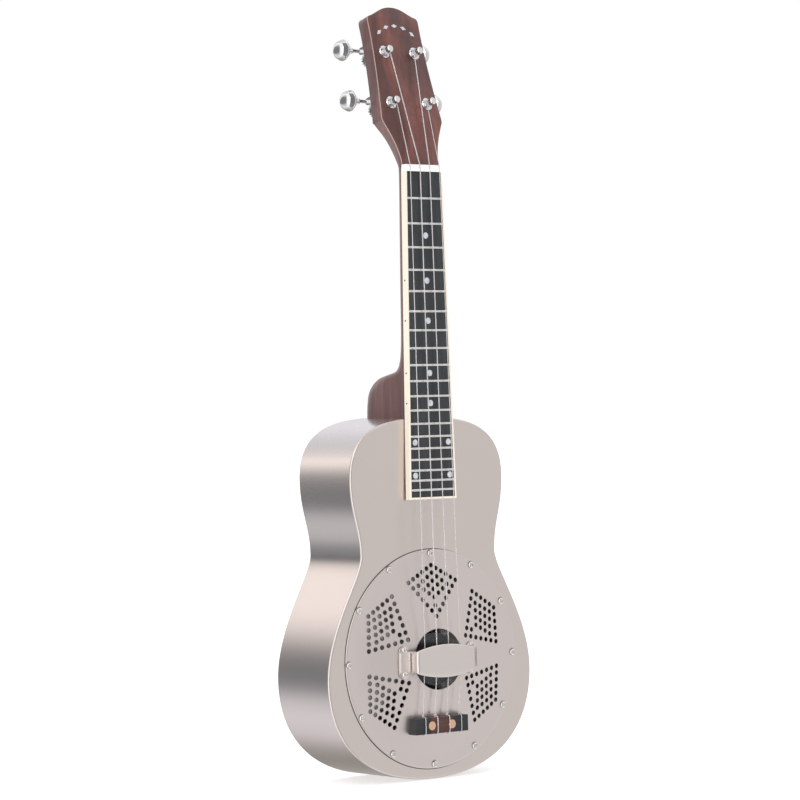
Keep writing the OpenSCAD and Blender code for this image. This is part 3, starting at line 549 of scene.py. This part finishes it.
def body_shell():
    """The front and back sheets, with rounded rims, and the side band between them."""
    rim = [(EDGE_R * (1 - math.cos(math.radians(a))), EDGE_R * (math.sin(math.radians(a)) - 1))
           for a in range(0, 91, 15)]
    inside = body_outline(SHEET)
    front = Shape()
    outer = [at_height(body_outline(i), h) for i, h in rim]
    edge = body_outline(EDGE_R)
    inner = disc_rings([(p.x, p.y) for p in edge], WELL_R, 0, 5)
    under = [[(x, y, -SHEET) for x, y, _ in r] for r in inner[::-1]]
    low = [at_height(inside, h) for h in (-SHEET, -EDGE_R)]
    front.rings(outer + inner + under + low, loop=True)
    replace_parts(front.make("body_front_sheet", "nickel", "nickel_body", 50, place=ON_BODY), "body_front")

    sides = Shape()
    levels = [-EDGE_R - 0.01, -4, -12, -22, -33, -44, -54, -62, -DEPTH + EDGE_R + 0.01]
    sides.rings([at_height(body_outline(0), h) for h in levels]
                + [at_height(inside, h) for h in levels[::-1]], loop=True)
    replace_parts(sides.make("body_side_band", "nickel_side", "nickel_body", 50, place=ON_BODY), "body_sides")

    back = Shape()
    rim_back = [at_height(body_outline(i), -DEPTH - h) for i, h in rim]
    flat = disc_rings([(p.x, p.y) for p in edge], 6, -DEPTH, 6)
    centre = [[(0, 0, -DEPTH)] * len(edge)]
    lid = [[(x, y, -DEPTH + SHEET) for x, y, _ in r] for r in (centre + flat[::-1])]
    high = [at_height(inside, h) for h in (-DEPTH + SHEET, -DEPTH + EDGE_R)]
    back.rings(rim_back + flat + centre + lid + high, loop=True)
    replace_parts(back.make("body_back_sheet", "nickel_back", "nickel_body", 50, place=ON_BODY), "body_back")


body_shell()


# ---------------------------------------------------------------- screws
def pan_head(radius, height, slot_w=0.13, depth=0.55, steps=48, rows=14):
    """Domed head with a cross recess, on a grid of rings."""
    rings = []
    for j in range(rows + 1):
        r = radius * (1 - j / rows)
        dome = height * (0.35 + 0.65 * max(0.0, 1 - (r / radius) ** 2.6) ** 0.6)
        ring = []
        for i in range(steps):
            a = 2 * math.pi * i / steps
            x, y = r * math.cos(a), r * math.sin(a)
            narrow = min(abs(x), abs(y)) / (slot_w * radius)
            reach = max(abs(x), abs(y)) / (0.56 * radius)
            cut = max(0.0, min(1.0, (1.25 - narrow) * 3)) * max(0.0, min(1.0, (1.05 - reach) * 6))
            ring.append((x, y, dome - depth * height * cut))
        rings.append(ring)
    return [[(x, y, -0.02) for x, y, _ in rings[0]]] + rings


def screw_set(name, places, radius, height, nodes):
    """A set of screw heads, each turned by its own amount."""
    shape = Shape()
    head = pan_head(radius, height)
    for k, place in enumerate(places):
        shape.rings(head, place @ Matrix.Rotation(0.7 * k + 0.3, 4, "Z"))
    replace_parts(shape.make(name, "screw_chrome", "chrome_hardware", 30), nodes)


def round_places(count, ring, h):
    angles = [2 * math.pi * i / count for i in range(count)]
    return [ON_BODY @ Matrix.Translation((ring * math.sin(a), ring * math.cos(a), h)) for a in angles]


def palm_feet():
    """Frames of the palm rest's two feet, before the body's frame."""
    return [Matrix.Translation((side * STRAP_HALF, STRAP_U, FOOT_H))
            @ Matrix.Rotation(math.radians(side * FOOT_TILT), 4, "Y")
            @ Matrix.Translation((side * FOOT_R, 0, 0)) for side in (-1, 1)]


screw_set("cover_plate_screws", round_places(COVER_SCREWS, SCREW_RING, SHEET), 2.65, 1.55, "cover_screws")
foot_places = [ON_BODY @ foot @ Matrix.Translation((0, u, SHEET)) for foot in palm_feet() for u in (-9.6, 10.1)]
screw_set("palm_rest_foot_screws", foot_places, 2.25, 1.35, "palm_rest_screws")


# ---------------------------------------------------------------- cover plate
def plate_top():
    """The cover plate's outer surface, from its rounded rim to the hole in the middle, as [radius, height]."""
    ends = [Vector((r, h, 0)) for r, h in ((82, 1.2), (70, 1.2), (42, 6.6), (MIDDLE_R, 8.9))]
    curve = interpolate_bezier(*ends, 60)
    rim = [(PLATE_R, 0.7), (87.46, 0.89), (87.35, 1.05), (87.19, 1.16), (87.0, 1.2), (84.5, 1.2)]
    return rim + [(p.x, p.y) for p in curve[:-1]] + [(24.45, 8.87), (24.27, 8.78), (MIDDLE_R, 8.6)]


def perforations():
    """Centres of the five kite-shaped groups of holes."""
    top, corner, bottom = Vector((0, 74.8)), Vector((24.2, 61.8)), Vector((0, 34.3))
    edge = [top.lerp(corner, i / 5) for i in range(6)] + [corner.lerp(bottom, i / 6) for i in range(1, 7)]
    kite = edge + [Vector((-p.x, p.y)) for p in edge if p.x > 0.1]
    kite += [Vector((4.9 * (i - j), 68.8 - 3.25 * (i + j))) for i in range(4) for j in range(4)]
    kite.append(Vector((0, 42.8)))
    return [Matrix.Rotation(math.radians(60 * k), 2) @ p for k in range(-2, 3) for p in kite]


def cover_plate():
    """The domed plate with its holes cut, and smooth normals taken from the profile."""
    top = plate_top()
    under = [(MIDDLE_R, 7.9), (24.4, 7.67)] + [(r, h - 1.2) for r, h in top[::-1] if 24.5 < r < 86.9]
    under.append((PLATE_R, 0))
    disc, holes = Shape(), Shape()
    disc.lathe(top + under, steps=144, loop=True)
    drills = [(p.x, p.y, PERFORATION_R) for p in perforations()]
    drills += [(side * PLUG_X, TIE_U, PLUG_HOLE_R) for side in (-1, 1)]
    for x, y, r in drills:
        holes.lathe([(0.001, -2), (r, -2), (r, 12), (0.001, 12)], Matrix.Translation((x, y, 0)), steps=24)
    objs = [bpy.data.objects.new("plate_part", shape.mesh("plate_part")) for shape in (disc, holes)]
    for o in objs:
        bpy.context.scene.collection.objects.link(o)
    cut = objs[0].modifiers.new("cut", "BOOLEAN")
    cut.operation, cut.solver, cut.object = "DIFFERENCE", "EXACT", objs[1]
    mesh = bpy.data.meshes.new_from_object(objs[0].evaluated_get(bpy.context.evaluated_depsgraph_get()))
    for o in objs:
        bpy.data.objects.remove(o)

    slope = [((a[0] + b[0]) / 2, Vector((b[1] - a[1], a[0] - b[0])).normalized()) for a, b in zip(top, top[1:])]

    def outward(co):
        """Smooth normal of the outer surface at a point, from the profile's own slope."""
        r = math.hypot(co.x, co.y) / MM
        if r >= slope[0][0]:
            n = slope[0][1]
        elif r <= slope[-1][0]:
            n = slope[-1][1]
        else:
            k = next(i for i in range(len(slope) - 1) if slope[i + 1][0] <= r)
            (r0, n0), (r1, n1) = slope[k], slope[k + 1]
            n = n0.lerp(n1, (r0 - r) / max(r0 - r1, 1e-9)).normalized()
        flat = Vector((co.x, co.y, 0)).normalized()
        return (flat * n.x + Vector((0, 0, n.y))).normalized()

    normals = [None] * len(mesh.loops)
    for face in mesh.polygons:
        match = face.normal.dot(outward(face.center))
        for i in face.loop_indices:
            n = outward(mesh.vertices[mesh.loops[i].vertex_index].co)
            normals[i] = n if match > 0.93 else -n if match < -0.93 else face.normal.copy()
    turn = ON_BODY.to_3x3()
    scale = Matrix.Diagonal((MM, MM, MM, 1))
    mesh.transform(scale @ ON_BODY @ scale.inverted())
    mesh.polygons.foreach_set("use_smooth", [True] * len(mesh.polygons))
    mesh.normals_split_custom_set([tuple(turn @ n) for n in normals])
    mesh.materials.clear()
    mesh.materials.append(MATS["nickel_plate"])
    plate = bpy.data.objects.new("perforated_cover", mesh)
    bpy.context.scene.collection.objects.link(plate)
    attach(plate, ROOT)
    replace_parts(plate, "cover_plate")


cover_plate()


# ---------------------------------------------------------------- palm rest
def palm_rest():
    """A strip of sheet bent over the saddle, on two feet with raised ribs."""
    half, top, foot, bend = STRAP_HALF, STRAP_TOP, STRAP_FOOT, STRAP_BEND
    leg = top - bend - foot
    path = [(-half, foot + leg * i / 5) for i in range(5)]
    path += arc((-half + bend, top - bend), bend, 180, 90, 6)
    path += [(-(half - bend) * (1 - 2 * i / 40), top) for i in range(1, 40)]
    path += arc((half - bend, top - bend), bend, 90, 0, 6)
    path += [(half, top - bend - leg * i / 5) for i in range(1, 6)]
    shape = Shape()
    rings = []
    for i, (x, h) in enumerate(path):
        a, b = Vector(path[max(i - 1, 0)]), Vector(path[min(i + 1, len(path) - 1)])
        along = (b - a).normalized()
        out = Vector((-along.y, along.x))
        w = STRAP_END_W + (STRAP_MID_W - STRAP_END_W) * max(0.0, 1 - (x / half) ** 2)
        crown = 0.18 * (w / STRAP_MID_W)
        section = [(-w + 0.2, -STRAP_T), (-w, -STRAP_T + 0.2), (-w, -0.75), (-w + 0.2, -0.25), (-w + 0.6, 0),
                   (-w * 0.6, crown * 0.7), (-w * 0.2, crown)]
        section += [(-u, n) for u, n in section[::-1]]
        rings.append([(x + out.x * n, u + STRAP_U, h + out.y * n) for u, n in section])
    shape.rings(rings)
    for place in palm_feet():
        rings = []
        for inset, h in ((0, 0), (0, 0.85), (0.12, 1.1), (0.4, 1.2)):
            ends = arc((0, FOOT_STRAIGHT), FOOT_R - inset, 0, 180, 18)
            rings.append([(x, y, h) for x, y in ends] + [(-x, -y, h) for x, y in ends])
        shape.rings(rings, place)
        rib = [(0.55, 0), (0.55, 0.8), (0.4, 1.25), (0, 1.45), (-0.4, 1.25), (-0.55, 0.8), (-0.55, 0)]
        stations = ((-8.2, 0.3), (-7.9, 0.75), (-7.2, 1), (7.2, 1), (7.9, 0.75), (8.2, 0.3))
        for rib_x in (-RIB_X, RIB_X):
            shape.rings([[(rib_x + x, y, 1.15 + h * grow) for x, h in rib] for y, grow in stations], place)
    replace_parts(shape.make("palm_rest_strap", "nickel_edge_soft", "nickel_body", 40, place=ON_BODY), "palm_rest")


palm_rest()


# ---------------------------------------------------------------- neck and headstock
def board_hw(s):
    """Half width of the fingerboard at s along the neck."""
    return NUT_HW + BOARD_WIDENS * -s / BOARD_LEN


def head_curve(points, steps):
    return [tuple(p[:2]) for p in interpolate_bezier(*[Vector((*p, 0)) for p in points], steps)]


SHOULDER_HW, SHOULDER_AT, HEAD_LEN, TOP_HW = 30.7, 42.6, 139.1, 26
CROWN_AT = HEAD_LEN - 8
FLARE = head_curve(((NUT_HW, 4), (NUT_HW, 18.6), (24, 28.6), (SHOULDER_HW - 0.7, SHOULDER_AT - 2)), 40)


def head_hw(s):
    """Half width of the headstock's flare at s."""
    for (x0, s0), (x1, s1) in zip(FLARE, FLARE[1:]):
        if s <= s1:
            return x0 + (x1 - x0) * max(0, s - s0) / (s1 - s0)
    return SHOULDER_HW


def head_right():
    """Right half of the headstock's outline, from the nut to the middle of the top."""
    return (FLARE
            + [(SHOULDER_HW - 0.3, SHOULDER_AT - 1.2), (SHOULDER_HW - 0.05, SHOULDER_AT),
               (SHOULDER_HW, SHOULDER_AT + 1)]
            + head_curve(((SHOULDER_HW, SHOULDER_AT + 2), (28, SHOULDER_AT + 26), (25.2, CROWN_AT - 30.5),
                          (TOP_HW, CROWN_AT - 4.5)), 24)
            + [(TOP_HW - 0.15, CROWN_AT - 3.2), (TOP_HW - 0.5, CROWN_AT - 2), (TOP_HW - 1.1, CROWN_AT - 1),
               (TOP_HW - 1.9, CROWN_AT - 0.35)]
            + head_curve(((TOP_HW - 3, CROWN_AT), (16, CROWN_AT + 2), (11, HEAD_LEN), (0, HEAD_LEN)), 24))


def head_outline(start, inset=0.0):
    """Closed outline above start, moved inwards by inset."""
    right = [p for p in head_right() if p[1] > start + 0.2]
    right = [(head_hw(start), start)] + right
    loop = [Vector(p) for p in right] + [Vector((-x, y)) for x, y in right[-2::-1]]
    out = []
    for i, p in enumerate(loop):
        d = (loop[(i + 1) % len(loop)] - loop[i - 1]).normalized()
        out.append(p + inset * Vector((-d.y, d.x)))
    return out


def neck():
    """Neck, heel and headstock in one piece of wood, and the headstock's face.

    The shaft and volute are given as (place, depth, squareness of the section).
    """
    shaft = [(-197, 60, 4.5), (-185, 59.4, 4.5), (-175, 57.5, 4.2), (-168, 52, 3.8), (-163.7, 44.5, 3.4),
             (-161.3, 35, 2.9), (-159.5, 26, 2.5), (-157, 21, 2.3), (-152, 17.4, 2.2), (-144, 15.4, 2.1),
             (-130, 14.6, 2), (-110, 14.4, 2), (-90, 14.2, 2), (-67, 13.9, 2), (-45, 13.6, 2), (-25, 13.2, 2),
             (-10, 13, 2), (0, 13.2, 2)]
    volute = [(6, 15, 2), (12, 15.8, 2.1), (18, 16, 2.3), (24, 15.4, 2.7), (29, 14.2, 3.4), (34, 13, 5),
              (38.5, 12.2, 9), (SHOULDER_AT + 0.3, 11.72, 30)]
    count = 48

    def ring(place, s, h, hw, depth, n):
        pts = []
        for i in range(count):
            a = math.pi * i / (count - 1)
            c, d = math.cos(a), abs(math.sin(a)) ** (2 / n)
            pts.append(place @ Vector((hw * math.copysign(abs(c) ** (2 / n), c), s, h - depth * d)))
        return pts

    stations = [ring(ON_NECK, s, 0, board_hw(s) - 0.5, d, n) for s, d, n in shaft]
    stations += [ring(ON_HEAD, s, HEAD_RISE, min(head_hw(s), SHOULDER_HW - 0.08), d, n) for s, d, n in volute]
    paths = [smooth_path([st[i] for st in stations], 5) for i in range(count)]
    shape = Shape()
    shape.rings([list(r) for r in zip(*paths)])
    rings = [[(p.x, p.y, h) for p in head_outline(SHOULDER_AT, i)] for i, h in
             ((0.7, BACK_H), (0.2, BACK_H + 0.2), (0, BACK_H + 0.7), (0, HEAD_RISE))]
    shape.rings(rings, ON_HEAD)
    start, end, half = -185, -259.4, 21.5
    tongue = [(-BODY_H, -196.6), (-BODY_H, end), (end * math.sin(NECK_LEAN), end),
              (start * math.sin(NECK_LEAN), start), (4, start), (4, -195.1), (-BODY_H, -195.1)]
    shape.rings([[(x, y, z) for y, z in tongue] for x in (-half, half)])
    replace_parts(shape.make("neck_wood", "mahogany", "mahogany", 38), "neck")

    face = Shape()
    face.rings([[(p.x, p.y, h) for p in head_outline(5.2, i)] for i, h in
                ((0, HEAD_RISE), (0, FACE_H - 0.35), (0.12, FACE_H - 0.1), (0.38, FACE_H))], ON_HEAD)
    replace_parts(face.make("headstock_face", "veneer", "rosewood", 50), "headstock_veneer")


neck()


def frets():
    """Nineteen crowned frets, rounded off at their ends, placed by the twelfth-root rule."""
    shape = Shape()
    crown = [(math.cos(a) * 0.95, 0.25 + 0.68 * math.sin(a)) for a in (math.radians(15 * k) for k in range(1, 12))]
    section = [(1.0, 0.0), (1.0, 0.25)] + crown + [(-1.0, 0.25), (-1.0, 0.0)]
    for n in range(1, 20):
        s = -SCALE * (1 - 2 ** (-n / 12))
        half = board_hw(s) - 1.75
        left = [(-half, 0.55), (-half + 0.25, 0.85), (-half + 0.7, 1)]
        stations = left + [(-x, k) for x, k in left[::-1]]
        shape.rings([[(x, s + a * k, BOARD_H + b * k) for a, b in section] for x, k in stations], ON_NECK)
    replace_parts(shape.make("fret_crowns", "fret", "fret_metal", 60), "frets")


frets()


# ---------------------------------------------------------------- strings and tuners
def spread(i, spacing):
    """Distance of string i from the middle line."""
    return (i - 1.5) * spacing


def string_piece(i):
    """One string from its winding over the nut and saddle, through the tie block and knotted round itself."""
    d = STRING_D[i]
    r = d / 2
    x_post, s_post = POSTS[i]
    touch = ON_HEAD @ Vector((SIDE[i] * (x_post - WINDING_R - r), s_post, WINDING_H))
    over_nut = Vector((spread(i, NUT_GAP), -6.55, 5.4))
    front = Vector((spread(i, NUT_GAP), -7.0, 0.1))
    saddle = ON_BODY @ Vector((spread(i, SADDLE_GAP), SADDLE_U, SADDLE_TOP + r - 0.1))
    tx, hole_h = spread(i, TIE_GAP), TIE_H - 1.6
    fore, back = TIE_U + TIE_W / 2, TIE_U - TIE_W / 2
    hole = ON_BODY @ Vector((tx, fore + 0.4, hole_h + 0.1))
    start = touch + (over_nut - touch).normalized() * 0.6
    line = [start.lerp(over_nut, k / 12) for k in range(13)] + [front]
    line += [front.lerp(saddle, k / 40) for k in range(1, 41)]
    line += [saddle.lerp(hole, k / 10) for k in range(1, 11)]
    shift, over = 1.25, TIE_H + r + 0.06
    loop = [(tx, fore - 2, hole_h), (tx, back + 1, hole_h), (tx + 0.1, back - 0.35, hole_h + 0.1),
            (tx + 0.5, back - 0.75, hole_h + 0.9), (tx + 0.95, back - 0.3, TIE_H + r - 0.1),
            (tx + shift, back + 1.4, over), (tx + shift + 0.15, TIE_U, over), (tx + shift, fore - 1.2, over),
            (tx + shift * 0.9, fore + 0.35, TIE_H + r - 0.25), (tx + shift * 0.6, fore + 0.9, TIE_H - 0.7)]
    path = line + smooth_path([ON_BODY @ Vector(p) for p in loop], 5)
    shape = Shape()
    shape.tube(path, r, sides=10)
    away, across = (saddle - hole).normalized(), Vector((1, 0, 0))
    side = away.cross(across).normalized()
    knot = []
    for k in range(61):
        a = 2 * math.pi * 2.5 * k / 60
        round_it = math.cos(a) * across + math.sin(a) * side
        knot.append(hole + away * (0.5 + 2.7 * d * k / 60) + (d * 0.98) * round_it)
    shape.tube(knot, r * 0.95, sides=10)
    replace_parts(shape.make("string_line_" + STRINGS[i], "nylon", "nylon", 70), "string_" + STRINGS[i])

    turns, per_turn, coil = 3.0, 28, Shape()
    grip = WINDING_R + r + 0.01
    path = []
    for k in range(int(turns * per_turn) + 1):
        a = 2 * math.pi * k / per_turn
        h = WINDING_H + d * 1.02 * (k / per_turn - turns / 2)
        path.append(Vector((grip * math.cos(a), grip * math.sin(a), h)))
    coil.tube(path, r, on_post(i), sides=10)
    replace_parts(coil.make("string_coil_" + STRINGS[i], "nylon", "nylon", 70, "string_post_" + STRINGS[i]),
                "winding_" + STRINGS[i])


def knob_piece(i):
    """A turned button: a cone from the shaft, a narrow edge and a dome."""
    cone = smooth_path([(2.5, -10.4, 0), (2.62, -9.4, 0), (3.2, -8.3, 0), (4.8, -6.3, 0), (6.4, -4.3, 0),
                        (8.15, -2.1, 0)], 5)
    dome = smooth_path([(8.4, 0.35, 0), (7.95, 1.4, 0), (7.4, 2.6, 0), (6.75, 3.75, 0), (5.3, 4.95, 0),
                        (2.9, 5.78, 0), (0.02, 6.0, 0)], 6)
    profile = [(0.02, -10.4)] + [(p.x, p.y) for p in cone]
    profile += [(8.55, -1.5), (8.72, -1.2), (8.75, -0.8), (8.62, -0.2)] + [(p.x, p.y) for p in dome]
    shape = Shape()
    turn = Matrix.Rotation(math.radians(90 * SIDE[i]), 4, "Y")
    shape.lathe(profile, on_post(i) @ Matrix.Translation((SIDE[i] * KNOB_X, WORM_UP, WORM_H)) @ turn, steps=72)
    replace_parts(shape.make("knob_button_" + STRINGS[i], "chrome", "chrome_hardware", 32, "tuner_knob_" + STRINGS[i]),
                "knob_" + STRINGS[i])


for index in range(4):
    string_piece(index)
    knob_piece(index)


# ---------------------------------------------------------------- shading and small bevels on the carried CAD parts
def soften(name, width):
    """Rounds a carried part's sharp edges, in millimetres."""
    bevel = NODES[name].modifiers.new("rounded_edges", "BEVEL")
    bevel.width, bevel.segments, bevel.limit_method = width * MM, 3, "ANGLE"
    bevel.angle_limit = math.radians(40)
    bevel.harden_normals = True


for node in NODES.values():
    shade_smooth(node.data, 28)
soften("tie_block", 0.45)
soften("nut", 0.3)
soften("fingerboard_binding", 0.25)


# ---------------------------------------------------------------- light, floor and surroundings
def add_stage():
    """A large plain floor just under the body, left out of the metal's reflections."""
    lo, _ = cad_box
    mesh = bpy.data.meshes.new("floor")
    size = 30
    mesh.from_pydata([(-size, -size, 0), (size, -size, 0), (size, size, 0), (-size, size, 0)], [], [(0, 1, 2, 3)])
    floor = bpy.data.objects.new("floor", mesh)
    floor.location.z = lo.z - 0.0005
    bpy.context.scene.collection.objects.link(floor)
    m = Mat("floor_paper", Base_Color=(0.92, 0.92, 0.92), Roughness=0.9,
            Emission_Color=(1, 1, 1), Emission_Strength=0.42)
    mesh.materials.append(m.material)
    floor.visible_glossy = False


def span(low, high, stops):
    """Ramp stops given between low and high, as shares."""
    return [((place - low) / (high - low), colour) for place, colour in stops]


def add_world():
    """A soft studio, white to the camera.

    Behind the object the metal sees light and dark zones, set by their angle in the plane of its front
    (0 is left, 90 up). Before the object it sees a bright left, a dark strip and a paler right.
    """
    world = bpy.data.worlds.new("studio")
    world.use_nodes = True
    g = Graph(world.node_tree)
    g.tree.nodes.clear()
    split = g.node("ShaderNodeSeparateXYZ")
    g.link(g.node("ShaderNodeTexCoord").outputs["Generated"], split.inputs[0])
    x, y, z = split.outputs

    def share(value, low, high):
        return g.math("DIVIDE", g.math("SUBTRACT", value, low), high - low)

    turn = g.math("MULTIPLY", g.math("ARCTAN2", z, g.math("MULTIPLY", x, -1.0)), 180 / math.pi)
    back = g.ramp(share(turn, -180, 180), *span(-180, 180, [
        (-180, (0.85, 0.84, 0.86)), (-158, (0.55, 0.52, 0.50)), (-138, (0.40, 0.38, 0.36)),
        (-118, (0.34, 0.32, 0.30)), (-98, (0.46, 0.44, 0.42)), (-72, (0.84, 0.82, 0.86)),
        (-45, (0.90, 0.88, 0.93)), (-26, (0.74, 0.73, 0.77)), (-17, (0.42, 0.43, 0.46)),
        (-9, (0.25, 0.26, 0.28)), (11, (0.23, 0.235, 0.245)), (23, (0.34, 0.335, 0.34)),
        (33, (0.72, 0.69, 0.68)), (42, (1.16, 1.08, 1.05)), (51, (1.42, 1.31, 1.27)),
        (62, (0.98, 0.93, 0.93)), (85, (0.78, 0.79, 0.84)), (118, (0.88, 0.90, 0.97)),
        (140, (1.0, 1.02, 1.1)), (180, (0.85, 0.84, 0.86))]))
    flat = g.math("DIVIDE", x, g.math("SQRT", g.math("SUBTRACT", 1.0, g.math("MULTIPLY", z, z))))
    front = g.ramp(share(flat, -1, 1), *span(-1, 1, [
        (-1.0, (1.5, 1.5, 1.52)), (-0.44, (1.5, 1.5, 1.52)), (-0.38, (0.80, 0.79, 0.80)),
        (-0.32, (0.22, 0.21, 0.23)), (0.06, (0.23, 0.22, 0.24)), (0.2, (0.74, 0.73, 0.735)),
        (0.4, (0.80, 0.79, 0.795)), (1.0, (0.78, 0.775, 0.78))]))
    high = g.ramp(share(flat, -1, 1), *span(-1, 1, [
        (-1.0, (1.3, 1.29, 1.3)), (-0.44, (1.3, 1.29, 1.3)), (-0.34, (0.28, 0.27, 0.29)),
        (0.06, (0.28, 0.27, 0.29)), (0.2, (1.2, 1.18, 1.18)), (1.0, (1.2, 1.18, 1.18))]))
    tall = g.math("MULTIPLY", g.math("SUBTRACT", g.math("ABSOLUTE", z), 0.35), 2.0, clamp=True)
    behind = g.math("MULTIPLY", g.math("ADD", y, 0.15), 2.2, clamp=True)
    studio = g.node("ShaderNodeBackground", Strength=1.0)
    g.link(g.mix(behind, g.mix(tall, front, high), back), studio.inputs["Color"])
    white = g.node("ShaderNodeBackground", Strength=1.02, Color=(1, 1, 1, 1))
    choose = g.node("ShaderNodeMixShader")
    g.link(g.node("ShaderNodeLightPath").outputs["Is Camera Ray"], choose.inputs[0])
    g.link(studio.outputs[0], choose.inputs[1])
    g.link(white.outputs[0], choose.inputs[2])
    g.link(choose.outputs[0], g.node("ShaderNodeOutputWorld").inputs["Surface"])
    bpy.context.scene.world = world


def add_light(name, place, target, size, power):
    """A round area light at place, in metres, turned to target."""
    data = bpy.data.lights.new(name, "AREA")
    data.shape, data.size, data.energy = "DISK", size, power
    light = bpy.data.objects.new(name, data)
    light.location = place
    light.rotation_mode = "QUATERNION"
    light.rotation_quaternion = (Vector(target) - Vector(place)).to_track_quat("-Z", "Y")
    bpy.context.scene.collection.objects.link(light)


add_stage()
add_world()
add_light("key", (-1.6, -2.4, 1.5), (0, 0, -0.2), 0.9, 6)
bpy.context.scene.view_settings.view_transform = "Standard"

bpy.context.view_layer.update()
